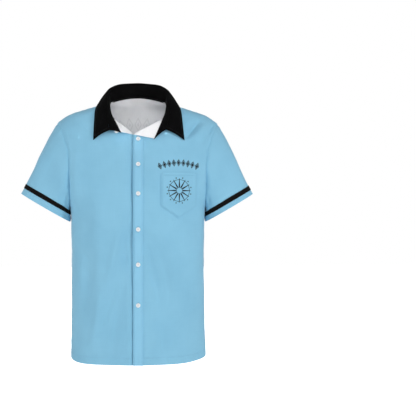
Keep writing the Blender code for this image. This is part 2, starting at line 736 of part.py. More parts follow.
def make_sleeves(blue, black, collection):
    """Both sleeves, each with its stripe."""
    for side, word in ((1, "left"), (-1, "right")):
        rows = sleeve_grid(side)
        cloth_wall(f"sleeve_{word}", rows, blue, collection, CLOTH, closed=True, flip=side < 0)
        band = []
        for row in (SLEEVE_RINGS, SLEEVE_RINGS + 1):
            normals = ring_normals(rows, row, side)
            band.append([p + n * (SEAM_GAP + TAPE_CLOTH) for p, n in zip(rows[row], normals)])
        cloth_wall(f"sleeve_band_{word}", band, black, collection, TAPE_CLOTH, closed=True, flip=side < 0)


def main():
    """Builds the shirt."""
    collection = fresh_scene()
    blue, black, white = (make_material(name) for name in FINISHES)
    make_back(blue, collection)
    grids, corner_edges = make_fronts(blue, collection)
    make_placket(grids[1], blue, collection)
    make_pocket(blue, collection)
    make_buttons(white, collection)
    stand_lines = make_collar(grids, corner_edges, black, collection)
    make_stand_button(stand_lines, white, collection)
    make_sleeves(blue, black, collection)


main()
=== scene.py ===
"""Looks of a short-sleeved bowling shirt in thin light-blue cloth with a black collar and striped sleeves.

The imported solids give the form. Each visible piece is a fine thin shell laid on the same figure, with its
folds, seams, hems, stitches and printed ornament. Lengths are metres; +Z is up, +X is the wearer's left
and -Y is the front.
"""

from __future__ import annotations

import logging
import math
from dataclasses import dataclass, field
from enum import Enum

import bmesh
import bpy
import numpy as np
from bpy.types import ID, Material, Mesh, Node, NodeSocket, NodeTree, Object, Scene
from mathutils import Matrix, Vector

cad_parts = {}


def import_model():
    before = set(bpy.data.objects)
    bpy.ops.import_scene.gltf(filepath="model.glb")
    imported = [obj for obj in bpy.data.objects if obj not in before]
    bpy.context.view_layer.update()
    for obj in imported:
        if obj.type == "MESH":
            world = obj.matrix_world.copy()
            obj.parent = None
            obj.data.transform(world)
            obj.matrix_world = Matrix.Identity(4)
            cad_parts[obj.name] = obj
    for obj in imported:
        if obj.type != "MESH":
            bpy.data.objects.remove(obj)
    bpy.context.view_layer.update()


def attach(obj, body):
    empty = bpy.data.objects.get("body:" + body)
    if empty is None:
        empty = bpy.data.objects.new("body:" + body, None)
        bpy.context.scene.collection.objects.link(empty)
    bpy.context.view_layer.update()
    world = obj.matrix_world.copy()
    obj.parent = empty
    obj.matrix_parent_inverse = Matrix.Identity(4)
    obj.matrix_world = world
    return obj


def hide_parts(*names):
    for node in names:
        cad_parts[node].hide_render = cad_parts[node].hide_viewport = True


log = logging.getLogger("bowling_shirt")

Array = np.ndarray
Pair = tuple[float, float]
Triple = tuple[float, float, float]
Materials = dict[str, Material]

# Thicknesses of the cloths, and the room between pieces that are sewn together.
CLOTH = 0.0012
COLLAR_CLOTH = 0.0018
TAPE_CLOTH = 0.001
SEAM_GAP = 0.0003
# Points nearer to each other than this are one point.
WELD = 0.00002
# Edges of cloth that turn more sharply than this, in degrees, stay sharp.
SHARP_ANGLE = 48
# Height of a stitch line's middle over the cloth.
STITCH_RISE = 0.0002
EDGE_STITCH_RISE = 0.00025


class Face(Enum):
    """Half of the body that a fold lies on."""

    FRONT = -1
    BACK = 1


class Side(Enum):
    """Side of the wearer."""

    LEFT = 1
    RIGHT = -1


# ======== number tools
def mix(start, end, share):
    """Value a share of the way from start to end."""
    return start + (end - start) * share


def ease(value, low: float, high: float):
    """Smooth step from 0 at low to 1 at high."""
    share = np.clip((value - low) / (high - low), 0.0, 1.0)
    return share * share * (3 - 2 * share)


def bell(value, centre: float, half_width: float):
    """Smooth hump that is 1 at the centre and falls off to both sides."""
    return np.exp(-(((value - centre) / half_width) ** 2))


def hermite(start, end, start_pull, end_pull, share):
    """Point on the curve that leaves start along start_pull and reaches end along end_pull."""
    t2, t3 = share * share, share**3
    return (
        start * (2 * t3 - 3 * t2 + 1)
        + start_pull * (t3 - 2 * t2 + share)
        + end * (3 * t2 - 2 * t3)
        + end_pull * (t3 - t2)
    )


def unit(vectors: Array) -> Array:
    """Vectors scaled to length one."""
    return vectors / np.maximum(np.linalg.norm(vectors, axis=-1, keepdims=True), 1e-9)


def refine(values: Array, steps: int, axis: int = 0, breaks: tuple[int, ...] = ()) -> Array:
    """Adds points between the rows of a grid, on smooth curves through them.

    Args:
        values: Grid whose last axis holds the values of a point.
        steps: Number of spans that each old one is cut into.
        axis: Axis along which points are added.
        breaks: Rows where the curves may have a corner.

    Returns:
        The finer grid.
    """
    rows = np.moveaxis(values, axis, 0)
    marks = [0, *breaks, len(rows) - 1]
    share = (np.arange(steps) / steps).reshape(1, steps, *([1] * (rows.ndim - 1)))
    parts = []
    for low, high in zip(marks, marks[1:]):
        part = rows[low : high + 1]
        padded = np.concatenate((2 * part[:1] - part[1:2], part, 2 * part[-1:] - part[-2:-1]))
        before, start, end, after = padded[:-3], padded[1:-2], padded[2:-1], padded[3:]
        fine = hermite(
            start[:, None], end[:, None], (end - before)[:, None] / 2, (after - start)[:, None] / 2, share
        )
        parts.append(fine.reshape(-1, *rows.shape[1:]))
    parts.append(rows[-1:])
    return np.moveaxis(np.concatenate(parts), 0, axis)


def travel(points: Array, axis: int) -> Array:
    """Distance along each line of a grid from its first point."""
    steps = np.linalg.norm(np.diff(points, axis=axis), axis=-1)
    zero = np.zeros_like(np.take(steps, [0], axis=axis))
    return np.concatenate((zero, np.cumsum(steps, axis=axis)), axis=axis)


def ripple(flat: Array, seed: int, length: float) -> Array:
    """Uneven soft waves over a sheet, between about -1 and 1.

    Args:
        flat: Flat coordinates of its points, in metres.
        seed: Picks the pattern.
        length: Typical wave length, in metres.

    Returns:
        Height of the waves at each point.
    """
    rng = np.random.default_rng(seed)
    u, v = flat[..., 0], flat[..., 1]
    total = np.zeros_like(u)
    # Seven sine waves in random directions look uneven, and their sum seldom passes 4.5.
    for _ in range(7):
        turn = rng.uniform(0, math.pi)
        wave = 2 * math.pi / (length * rng.uniform(0.7, 1.6))
        total += np.sin(wave * (u * math.cos(turn) + v * math.sin(turn)) + rng.uniform(0, 6.3))
    return total / 4.5


@dataclass(frozen=True)
class SectionTable:
    """Rows of numbers read by their first column, on smooth curves that never overshoot."""

    rows: tuple[tuple[float, ...], ...]

    def read(self, at: Array) -> Array:
        """Values of the other columns at each place."""
        table = np.array(self.rows)
        x, y = table[:, 0], table[:, 1:]
        slope = np.diff(y, axis=0) / np.diff(x)[:, None]
        before, after = slope[:-1], slope[1:]
        same = before * after > 0
        middle = np.where(same, 2 * before * after / np.where(same, before + after, 1.0), 0.0)
        tangent = np.concatenate((slope[:1], middle, slope[-1:]))
        at = np.clip(np.asarray(at, float), x[0], x[-1])
        k = np.clip(np.searchsorted(x, at) - 1, 0, len(x) - 2)
        span = (x[k + 1] - x[k])[..., None]
        share = (at - x[k])[..., None] / span
        return hermite(y[k], y[k + 1], tangent[k] * span, tangent[k + 1] * span, share)


# ======== the figure under the cloth
@dataclass(frozen=True)
class Fold:
    """Soft ridge, or trough where its height is below 0, along a straight line on one face."""

    face: Face
    top_x: float
    top_z: float
    bottom_x: float
    bottom_z: float
    half_width: float
    height: float


# Seeds that pick the soft unevenness of each piece.
BACK_SEED, LEFT_SEED, RIGHT_SEED, BAND_SEED, LEAF_SEED, SLEEVE_SEED = 11, 5, 8, 17, 21, 31
# Columns: x and z of a fold's top, x and z of its foot, half width and height.
FRONT_FOLDS = (
    # Main folds.
    (-0.024, -0.12, -0.021, -0.3, 0.012, -0.004),
    (-0.03, -0.34, -0.024, -0.52, 0.014, -0.005),
    (-0.06, -0.33, -0.072, -0.56, 0.026, 0.004),
    (-0.112, -0.24, -0.106, -0.64, 0.022, 0.004),
    (-0.148, -0.26, -0.14, -0.74, 0.02, -0.0034),
    (-0.172, -0.12, -0.178, -0.33, 0.014, 0.005),
    (0.02, -0.37, 0.12, -0.64, 0.024, 0.006),
    (0.05, -0.35, 0.16, -0.56, 0.024, -0.005),
    (0.03, -0.54, 0.07, -0.74, 0.026, -0.0045),
    (0.13, -0.1, 0.178, -0.04, 0.013, -0.004),
    (0.15, -0.13, 0.19, -0.07, 0.014, 0.004),
    (0.172, -0.12, 0.178, -0.33, 0.014, 0.0045),
    # Beside the front band: the cloth sinks under it, deepest at the top and by the fourth button.
    (-0.027, -0.108, -0.019, -0.185, 0.008, -0.0039),
    (-0.018, -0.17, -0.0175, -0.32, 0.005, -0.0024),
    (-0.02, -0.33, -0.017, -0.485, 0.006, -0.0036),
    (-0.056, -0.424, -0.018, -0.466, 0.007, -0.0027),
    (-0.015, -0.384, -0.038, -0.39, 0.004, -0.0021),
    # Wearer's right front: long folds that leave the band and fall outwards.
    (-0.044, -0.335, -0.092, -0.545, 0.011, 0.0046),
    (-0.04, -0.37, -0.036, -0.49, 0.012, -0.0054),
    (-0.096, -0.49, -0.128, -0.69, 0.012, 0.0032),
    (-0.052, -0.5, -0.108, -0.655, 0.008, -0.003),
    (-0.106, -0.6, -0.134, -0.7, 0.014, 0.0021),
    (-0.11, -0.37, -0.17, -0.67, 0.014, -0.0024),
    (-0.16, -0.42, -0.164, -0.545, 0.01, 0.0024),
    (-0.04, -0.485, -0.076, -0.72, 0.012, -0.0036),
    (-0.03, -0.47, -0.029, -0.715, 0.0065, 0.0019),
    (-0.045, -0.16, -0.125, -0.23, 0.014, -0.0018),
    (-0.13, -0.1, -0.175, -0.052, 0.008, -0.0021),
    # Wearer's left front: a curved fold from the fourth button and softer ones beside it.
    (0.017, -0.4, 0.04, -0.466, 0.0075, -0.0033),
    (0.032, -0.44, 0.062, -0.575, 0.0085, -0.0033),
    (0.018, -0.47, 0.043, -0.56, 0.007, 0.0024),
    (0.02, -0.37, 0.068, -0.432, 0.011, 0.0027),
    (0.06, -0.405, 0.093, -0.61, 0.013, 0.0036),
    (0.072, -0.372, 0.108, -0.432, 0.009, -0.0024),
    (0.164, -0.33, 0.17, -0.44, 0.01, -0.0024),
    (0.06, -0.66, 0.078, -0.745, 0.016, -0.0033),
    (0.105, -0.6, 0.108, -0.735, 0.015, 0.0024),
    # Short folds from the collar's point to the wearer's left shoulder, and at the top of the armhole.
    (0.135, -0.11, 0.179, -0.052, 0.0045, -0.006),
    (0.15, -0.104, 0.185, -0.056, 0.0045, -0.0021),
    (0.144, -0.118, 0.19, -0.062, 0.007, 0.0021),
    (0.2, -0.098, 0.219, -0.06, 0.004, -0.0045),
)
BACK_FOLDS = (
    # Main folds.
    (-0.13, -0.12, -0.118, -0.72, 0.026, -0.006),
    (0.126, -0.14, 0.122, -0.7, 0.026, -0.006),
    (-0.07, -0.33, -0.06, -0.74, 0.03, 0.005),
    (0.075, -0.36, 0.055, -0.74, 0.028, 0.005),
    (-0.1, -0.05, 0.1, -0.058, 0.016, -0.0035),
    # Finer ones.
    (-0.15, -0.2, -0.165, -0.32, 0.012, 0.0033),
    (0.152, -0.19, 0.168, -0.33, 0.012, 0.0033),
    (-0.03, -0.42, 0.045, -0.52, 0.018, -0.0027),
    (0.02, -0.56, -0.03, -0.735, 0.018, 0.003),
    (0.105, -0.06, 0.15, -0.12, 0.012, -0.0027),
    (-0.1, -0.062, -0.145, -0.125, 0.012, -0.0027),
)
FOLDS = tuple(
    Fold(face, *row) for face, rows in ((Face.FRONT, FRONT_FOLDS), (Face.BACK, BACK_FOLDS)) for row in rows
)


# Level sections: height, half width, depth to the front and to the back, and power of the rounding.
SECTIONS = SectionTable((
    (-0.745, 0.1915, 0.135, 0.1225, 2.5),
    (-0.6, 0.19, 0.129, 0.1165, 2.5),
    (-0.484, 0.1896, 0.1255, 0.1125, 2.5),
    (-0.38, 0.1905, 0.128, 0.1175, 2.5),
    (-0.305, 0.1934, 0.1295, 0.1235, 2.5),
    (-0.25, 0.215, 0.1258, 0.1262, 2.5),
    (-0.185, 0.243, 0.1127, 0.125, 2.45),
    (-0.12, 0.256, 0.0915, 0.119, 2.4),
    (-0.085, 0.248, 0.0795, 0.113, 2.3),
    (-0.064, 0.233, 0.0725, 0.1075, 2.2),
    (-0.038, 0.2, 0.0595, 0.1005, 2.1),
    (-0.02, 0.149, 0.05, 0.0955, 2.0),
    (-0.011, 0.118, 0.045, 0.0925, 2.0),
    (0.0, 0.08, 0.04, 0.0885, 2.0),
    (0.012, 0.066, 0.034, 0.084, 2.0),
    (0.025, 0.05, 0.028, 0.078, 2.0),
))


@dataclass(frozen=True)
class Figure:
    """General figure that the cloth lies on, named by the angle round it and the height."""

    sections: SectionTable = SECTIONS
    turn_step: float = 0.0075
    rise_step: float = 0.0015
    seam_fade: float = 0.022
    flute_top: float = -0.42
    flute_bottom: float = -0.7385
    flute_height: float = 0.0035
    flute_power: float = 1.5
    # The hem sways in two waves: number round the body, start and share.
    flutes: tuple = ((5, 0.6, 1.0), (9, 2.1, 0.55))
    fold_power: float = 0.8

    def point(self, angle: Array, height: Array) -> Array:
        """Points of the figure."""
        angle, height = np.broadcast_arrays(np.asarray(angle, float), np.asarray(height, float))
        width, front, back, power = np.moveaxis(self.sections.read(height), -1, 0)
        s, c = np.sin(angle), np.cos(angle)
        reach = (np.abs(s) ** power + np.abs(c) ** power) ** (-1 / power)
        return np.stack((width * reach * s, -np.where(c > 0, front, back) * reach * c, height), -1)

    def normal(self, angle: Array, height: Array) -> Array:
        """Directions straight out of the figure."""
        across = self.point(angle + self.turn_step, height) - self.point(angle - self.turn_step, height)
        upward = self.point(angle, height + self.rise_step) - self.point(angle, height - self.rise_step)
        return unit(np.cross(across, upward))

    def angle_at(self, x: Array, height: Array) -> Array:
        """Angle round the front at which the figure is x to the wearer's left."""
        width, _, _, power = np.moveaxis(self.sections.read(height), -1, 0)
        across = np.clip(np.abs(x) / width, 0.0, 1.0)
        return np.copysign(np.arctan2(across, (1 - across**power) ** (1 / power)), x)

    def girth(self, angle: Array, height: Array, start: float) -> Array:
        """Distance round the figure from a starting angle, in metres, with the angle's sign."""
        share = np.linspace(0, 1, 25)[:, None, None]
        points = self.point(start + (angle - start) * share, np.broadcast_to(height, angle.shape))
        return np.linalg.norm(np.diff(points, axis=0), axis=-1).sum(0) * np.sign(angle - start)

    def folds(self, points: Array, angle: Array) -> Array:
        """How far the soft folds and the swaying hem lift the cloth."""
        total = np.zeros(points.shape[:-1])
        face = np.where(points[..., 1] > 0, Face.BACK.value, Face.FRONT.value)
        for fold in FOLDS:
            run = np.array((fold.bottom_x - fold.top_x, fold.bottom_z - fold.top_z))
            offset = points[..., (0, 2)] - np.array((fold.top_x, fold.top_z))
            along = offset @ run / (run @ run)
            aside = np.linalg.norm(offset - along[..., None] * run, axis=-1)
            inside = (along > 0) & (along < 1) & (face == fold.face.value)
            shape = np.sin(math.pi * np.clip(along, 0, 1)) ** self.fold_power
            shape = fold.height * (shape * bell(aside, 0.0, fold.half_width))
            total += np.where(inside, shape, 0.0)
        sway = sum(part * np.sin(count * angle + start) for count, start, part in self.flutes)
        depth = (self.flute_top - points[..., 2]) / (self.flute_top - self.flute_bottom)
        total += self.flute_height * sway * np.clip(depth, 0, 1) ** self.flute_power
        return total * np.clip(np.abs(points[..., 1]) / self.seam_fade, 0, 1)


# ======== finishes
def linear(code: str) -> tuple[float, float, float, float]:
    """Linear colour of an sRGB hex code such as 86C0DC."""
    parts = [int(code[i : i + 2], 16) / 255 for i in (0, 2, 4)]
    red, green, blue = (c / 12.92 if c <= 0.04045 else ((c + 0.055) / 1.055) ** 2.4 for c in parts)
    return red, green, blue, 1.0


def connect(tree: NodeTree, node: Node, links: dict) -> None:
    """Gives a node's inputs, by name or number, their values or other nodes' outputs."""
    for name, value in links.items():
        if isinstance(value, NodeSocket):
            tree.links.new(value, node.inputs[name])
        else:
            node.inputs[name].default_value = value


def add_node(tree: NodeTree, kind: str, links: dict | None = None, settings: dict | None = None):
    """Adds a node.

    Args:
        tree: Node tree that gets it.
        kind: Node type's name.
        links: Values or output sockets for its inputs, by name or number.
        settings: Property values.

    Returns:
        The node.
    """
    node = tree.nodes.new(kind)
    for name, value in (settings or {}).items():
        setattr(node, name, value)
    connect(tree, node, links or {})
    return node


def blend(tree: NodeTree, share, first, second) -> NodeSocket:
    """Colour a share of the way from the first to the second."""
    links = {"Factor": share, 6: first, 7: second}
    return add_node(tree, "ShaderNodeMix", links, {"data_type": "RGBA"}).outputs[2]


def lighten(tree: NodeTree, lightness, colour) -> NodeSocket:
    """Colour made lighter or darker."""
    links = {"Value": lightness, "Color": colour}
    return add_node(tree, "ShaderNodeHueSaturation", links).outputs["Color"]


def new_material(name: str) -> tuple[Material, NodeTree, Node]:
    """A material with its node tree and its surface shader."""
    material = bpy.data.materials.new(name)
    material.use_nodes = True
    return material, material.node_tree, material.node_tree.nodes["Principled BSDF"]


@dataclass(frozen=True)
class Maths:
    """Number sums in a shader's node tree."""

    tree: NodeTree

    def __call__(self, operation: str, *values) -> NodeSocket:
        """Output of one Math node."""
        links = dict(enumerate(values))
        return add_node(self.tree, "ShaderNodeMath", links, {"operation": operation}).outputs[0]

    def step(self, value, low: float, high: float) -> NodeSocket:
        """Smooth step from 0 at low to 1 at high."""
        links = {"Value": value, "From Min": low, "From Max": high}
        settings = {"interpolation_type": "SMOOTHSTEP"}
        return add_node(self.tree, "ShaderNodeMapRange", links, settings).outputs["Result"]

    def times(self, first, second) -> NodeSocket:
        """Product of two numbers."""
        return self("MULTIPLY", first, second)

    def distance(self, across, along) -> NodeSocket:
        """Length of the line with these two legs."""
        return self("SQRT", self("ADD", self.times(across, across), self.times(along, along)))


@dataclass(frozen=True)
class Ornament:
    """Printed ring of rays and dots with an arc of diamonds over it, drawn in flat metres."""

    centre: Pair
    line: float
    rays: int = 0
    ray_from: float = 0.0
    ray_to: float = 0.0
    ray_taper: float = 1.6
    rings: tuple[float, ...] = ()
    dot_at: float = 0.0
    dot: float = 0.0
    arc_at: float = 0.0
    arc_turn: float = 0.0
    diamonds: int = 0
    diamond_high: float = 0.0
    diamond_wide: float = 0.0
    # Shares of a diamond's size: middle and width of its outline, and its filled core.
    outline: float = 0.84
    outline_width: float = 0.16
    core: float = 0.34
    core_blur: float = 0.06
    end_blur: float = 0.002
    blur: float = 0.0006

    def mask(self, tree: NodeTree, u, v) -> NodeSocket:
        """Builds the pattern.

        Args:
            tree: Material's node tree.
            u: Distance across the cloth.
            v: Height on the cloth.

        Returns:
            Socket that is 1 on the ink and 0 off it.
        """
        maths = Maths(tree)
        x, y = maths("SUBTRACT", u, self.centre[0]), maths("SUBTRACT", v, self.centre[1])
        radius = maths.distance(x, y)
        turn = maths("ARCTAN2", x, y)
        parts = []
        if self.rays:
            parts += self.sun(maths, radius, turn)
        for ring in self.rings:
            parts.append(self.below(maths, maths("ABSOLUTE", maths("SUBTRACT", radius, ring)), self.line / 2))
        if self.diamonds:
            parts.append(self.arc(maths, radius, turn))
        total = parts[0]
        for part in parts[1:]:
            total = maths("MAXIMUM", total, part)
        return total

    def sun(self, maths: Maths, radius, turn) -> list[NodeSocket]:
        """Rays that taper outwards, and a dot between the ends of each two."""
        cell = 2 * math.pi / self.rays
        # Two whole turns more keep the angle above 0.
        local = maths("PINGPONG", maths("ADD", turn, 4 * math.pi), cell / 2)
        aside = maths.times(maths("SINE", local), radius)
        taper = self.line * self.ray_taper / self.ray_to
        width = maths.times(maths("SUBTRACT", self.ray_to, radius), taper)
        ray = self.below(maths, aside, maths("ADD", width, self.line / 2))
        ray = maths.times(ray, maths.step(radius, self.ray_from - self.blur, self.ray_from))
        ray = maths.times(ray, maths.step(radius, self.ray_to, self.ray_to - self.blur))
        other = maths("SUBTRACT", cell / 2, local)
        along = maths("SUBTRACT", maths.times(maths("COSINE", other), radius), self.dot_at)
        across = maths.times(maths("SINE", other), radius)
        return [ray, self.below(maths, maths.distance(along, across), self.dot)]

    def arc(self, maths: Maths, radius, turn) -> NodeSocket:
        """Outlined diamonds with a filled core, side by side on an arc."""
        cell = 2 * self.arc_turn / self.diamonds
        # A whole number of cells more keeps the angle above 0.
        local = maths("PINGPONG", maths("ADD", turn, cell * 64), cell / 2)
        high = maths("ABSOLUTE", maths("SUBTRACT", radius, self.arc_at))
        wide = maths.times(local, self.arc_at)
        size = maths("DIVIDE", high, self.diamond_high)
        size = maths("ADD", size, maths("DIVIDE", wide, self.diamond_wide))
        rim = maths("ABSOLUTE", maths("SUBTRACT", size, self.outline))
        rim = self.below(maths, rim, self.outline_width)
        core = maths.step(size, self.core, self.core - self.core_blur)
        inside = maths.step(maths("ABSOLUTE", turn), self.arc_turn + self.end_blur, self.arc_turn)
        return maths.times(maths("MAXIMUM", rim, core), inside)

    def below(self, maths: Maths, value, limit) -> NodeSocket:
        """1 where the value is under the limit, with a soft edge."""
        return maths.step(maths("SUBTRACT", limit, value), -self.blur / 2, self.blur / 2)


@dataclass(frozen=True)
class ClothFinish:
    """Woven polyester, matte, with a faint sheen along its folds."""

    name: str
    colour: str
    shade: str
    roughness: float
    sheen: float
    # The real thread spacing is about 0.25 mm, drawn at 0.9 mm so that a close view shows the weave.
    thread: float = 0.0009
    bump: float = 0.00006
    specular: float = 0.25
    sheen_roughness: float = 0.45
    cloud_scale: float = 9.0
    cloud_span: Pair = (0.3, 0.75)
    # Streaks of uneven threads: 1 mm apart and several centimetres long, across and along the cloth.
    streaks: tuple = ((1100.0, 14.0, 1.0), (14.0, 1100.0, 1.0))
    streak_depth: float = 0.14
    ink: str = "18191C"
    ink_share: float = 1.0
    ornaments: tuple[Ornament, ...] = ()

    def build(self) -> Material:
        """Material of the cloth, on the piece's flat coordinates in metres."""
        material, tree, shader = new_material(self.name)
        maths = Maths(tree)
        flat = add_node(tree, "ShaderNodeUVMap", {}, {"uv_map": "flat"}).outputs["UV"]
        split = add_node(tree, "ShaderNodeSeparateXYZ", {0: flat})
        u, v = split.outputs["X"], split.outputs["Y"]
        # Soft clouding of the dye, in patches of a hand's width and of a finger's width.
        links = {"Vector": flat, "Scale": self.cloud_scale, "Detail": 4.0}
        cloud = add_node(tree, "ShaderNodeTexNoise", links).outputs["Fac"]
        colour = blend(tree, maths.step(cloud, *self.cloud_span), linear(self.colour), linear(self.shade))
        # Threads that are a little lighter or darker than their neighbours give the cloth its grain.
        threads = []
        for stretch in self.streaks:
            place = add_node(tree, "ShaderNodeVectorMath", {0: flat, 1: stretch}, {"operation": "MULTIPLY"})
            noise = add_node(tree, "ShaderNodeTexNoise", {"Vector": place.outputs[0], "Scale": 1.0})
            threads.append(noise.outputs["Fac"])
        streak = maths.times(maths("ADD", *threads), 0.5)
        lightness = maths("ADD", 1.0 - self.streak_depth / 2, maths.times(streak, self.streak_depth))
        colour = lighten(tree, lightness, colour)
        # The print sinks into the cloth, so it keeps the weave's bumps and the cloth's matte face.
        for ornament in self.ornaments:
            mask = maths.times(ornament.mask(tree, u, v), self.ink_share)
            colour = blend(tree, mask, colour, linear(self.ink))
        # Threads that pass over and under each other break the light up into a fine matte grain.
        wave = math.pi / self.thread
        over, under = (maths("SINE", maths.times(way, wave)) for way in (u, v))
        height = maths.times(maths("ADD", maths.times(over, under), streak), self.bump)
        bump = add_node(tree, "ShaderNodeBump", {"Height": height, "Strength": 0.6, "Distance": 1.0})
        links = {
            "Base Color": colour,
            "Roughness": self.roughness,
            "Sheen Weight": self.sheen,
            "Sheen Roughness": self.sheen_roughness,
            "Specular IOR Level": self.specular,
            "Normal": bump.outputs["Normal"],
        }
        connect(tree, shader, links)
        return material


@dataclass(frozen=True)
class ThreadFinish:
    """Spun polyester sewing thread, two plies twisted together."""

    name: str
    colour: str
    # The real twist repeats about every 0.5 mm, drawn at 1 mm.
    twist: float = 0.001
    twist_depth: float = 0.12
    roughness: float = 0.55
    sheen: float = 0.2

    def build(self) -> Material:
        """Material with the light and dark bands of the twist."""
        material, tree, shader = new_material(self.name)
        maths = Maths(tree)
        place = add_node(tree, "ShaderNodeTexCoord").outputs["Object"]
        split = add_node(tree, "ShaderNodeSeparateXYZ", {0: place})
        run = maths("ADD", split.outputs["Z"], maths("ADD", split.outputs["X"], split.outputs["Y"]))
        # The two plies catch the light in turn, so that a stitch looks twisted and not like a wire.
        band = maths("SINE", maths.times(run, 2 * math.pi / self.twist))
        lightness = maths("ADD", 1.0, maths.times(band, self.twist_depth))
        colour = lighten(tree, lightness, linear(self.colour))
        connect(tree, shader, {"Base Color": colour, "Roughness": self.roughness, "Sheen Weight": self.sheen})
        return material


@dataclass(frozen=True)
class ButtonFinish:
    """Cast polyester resin, tumbled to a soft gloss, with faint cloudy depth."""

    name: str = "white_button_resin"
    light: str = "FAFAFA"
    deep: str = "ECEEF0"
    roughness: float = 0.28
    ior: float = 1.55
    cloud_scale: float = 320.0

    def build(self) -> Material:
        """Material of the buttons."""
        material, tree, shader = new_material(self.name)
        place = add_node(tree, "ShaderNodeTexCoord").outputs["Object"]
        # Clouds 3 mm across, as the resin sets unevenly: whiter and greyer patches within a button.
        links = {"Vector": place, "Scale": self.cloud_scale, "Distortion": 1.5}
        cloud = add_node(tree, "ShaderNodeTexNoise", links).outputs["Fac"]
        # Tumbling leaves a faint waviness that softens the highlight.
        bump = add_node(tree, "ShaderNodeBump", {"Height": cloud, "Strength": 0.05, "Distance": 0.0004})
        links = {
            "Base Color": blend(tree, cloud, linear(self.light), linear(self.deep)),
            "Roughness": self.roughness,
            "IOR": self.ior,
            "Normal": bump.outputs["Normal"],
        }
        connect(tree, shader, links)
        return material


@dataclass
class Wardrobe:
    """All finishes of the shirt."""

    figure: Figure

    def place(self, x: float, z: float) -> Pair:
        """Flat coordinates of a place on the front."""
        angle = self.figure.angle_at(np.array([[x]]), np.array([[z]]))
        return float(self.figure.girth(angle, np.array([[z]]), 0.0)[0, 0]), z

    def ornaments(self) -> tuple[Ornament, Ornament, Ornament]:
        """Prints over the pocket, on the pocket and on the back."""
        over_pocket = Ornament(
            self.place(0.1118, -0.33), line=0.0012, arc_at=0.152, arc_turn=0.4, diamonds=9,
            diamond_high=0.0105, diamond_wide=0.0062, core=0.58,
        )
        pocket = Ornament(
            self.place(0.1135, -0.256), line=0.0013, rays=12, ray_from=0.01, ray_to=0.034,
            rings=(0.0085, 0.03), dot_at=0.0355, dot=0.0017,
        )
        back = Ornament(
            (0.0, -0.252), line=0.0026, rays=16, ray_from=0.045, ray_to=0.128, rings=(0.04, 0.034, 0.112),
            dot_at=0.136, dot=0.005, arc_at=0.2, arc_turn=0.96, diamonds=15,
            diamond_high=0.021, diamond_wide=0.0115,
        )
        return over_pocket, pocket, back

    def build(self) -> Materials:
        """Builds each finish under the name of its use."""
        blue = {"colour": "8AC4E0", "shade": "84BEDB", "roughness": 0.82, "sheen": 0.12}
        white = {"colour": "F1F2F4", "shade": "E9EBEE", "roughness": 0.85, "sheen": 0.08}
        over_pocket, pocket, back = self.ornaments()
        finishes = {
            "blue": ClothFinish("light_blue_polyester", **blue),
            # Painted light: the front band's colour is a little lighter than the cloth's. It stands in for
            # the band lying forward and catching more light, and for less shade from the inside showing
            # through its two layers.
            "blue_band": ClothFinish("light_blue_polyester_band_painted_light", "90CBE9", "8BC6E4", 0.8, 0.12),
            "blue_chest": ClothFinish("light_blue_polyester_chest_print", **blue, ornaments=(over_pocket,)),
            "blue_pocket": ClothFinish("light_blue_polyester_pocket_print", **blue, ornaments=(pocket,)),
            "blue_back": ClothFinish("light_blue_polyester_back_print", **blue, ornaments=(back,)),
            "white": ClothFinish("white_polyester_reverse", **white),
            # The back's print shows faintly through on its inner face.
            "white_back": ClothFinish(
                "white_polyester_reverse_of_print", **white, ink="9FA4A8", ink_share=0.2, ornaments=(back,)
            ),
            "black": ClothFinish("black_polyester_twill", "060607", "040405", 0.85, 0.0, specular=0.06),
            "stripe": ClothFinish("black_polyester_tape", "0E0C0B", "0A0908", 0.8, 0.0, specular=0.1),
            "blue_thread": ThreadFinish("light_blue_polyester_thread", "7DB6D3"),
            "black_thread": ThreadFinish("black_polyester_thread", "131315", sheen=0.0),
            # Painted shade: the buttons' thread is grey, darker than the white buttons, and stands in for the
            # shadow in their holes.
            "white_thread": ThreadFinish("button_thread_painted_shade", "A8A5A3"),
            "button": ButtonFinish(),
        }
        return {use: finish.build() for use, finish in finishes.items()}


# ======== sheets of cloth
@dataclass
class Grid:
    """Grid of points on a sheet's outer face, with flat coordinates and the distance to its hem."""

    points: Array
    flat: Array
    hem: Array | None = None
    flip: bool = False

    def line(self, place: float, axis: int = 0) -> Array:
        """Points along a row, or along a column for axis 1, which may lie between two."""
        points = np.moveaxis(self.points, axis, 0)
        low = int(min(math.floor(place), len(points) - 2))
        return mix(points[low], points[low + 1], place - low)

    def normals(self) -> Array:
        """Directions straight out of the outer face."""
        across = np.gradient(self.points, axis=1)
        upward = np.gradient(self.points, axis=0)
        out = unit(np.cross(across, upward))
        return -out if self.flip else out

    def lifted(self, height) -> Grid:
        """The same grid moved out by a height, which may differ from point to point."""
        height = np.broadcast_to(height, self.points.shape[:2])[..., None]
        return Grid(self.points + self.normals() * height, self.flat, self.hem, self.flip)


def new_object(name: str, data: ID) -> Object:
    """An object of the scene."""
    item = bpy.data.objects.new(name, data)
    bpy.context.scene.collection.objects.link(item)
    return item


def join_points(mesh: Mesh, face_outwards: bool = False) -> None:
    """Makes one point of mesh points that coincide, and may turn the faces outwards."""
    bm = bmesh.new()
    bm.from_mesh(mesh)
    bmesh.ops.remove_doubles(bm, verts=bm.verts, dist=WELD)
    if face_outwards:
        bmesh.ops.recalc_face_normals(bm, faces=bm.faces)
    bm.to_mesh(mesh)
    bm.free()


def plain_mesh(item: Object, name: str) -> None:
    """Replaces an object's data by the mesh that its modifiers give."""
    bpy.context.view_layer.update()
    evaluated = item.evaluated_get(bpy.context.evaluated_depsgraph_get())
    mesh = bpy.data.meshes.new_from_object(evaluated)
    mesh.name = name
    old = item.data
    item.modifiers.clear()
    item.data = mesh
    bpy.data.meshes.remove(old)


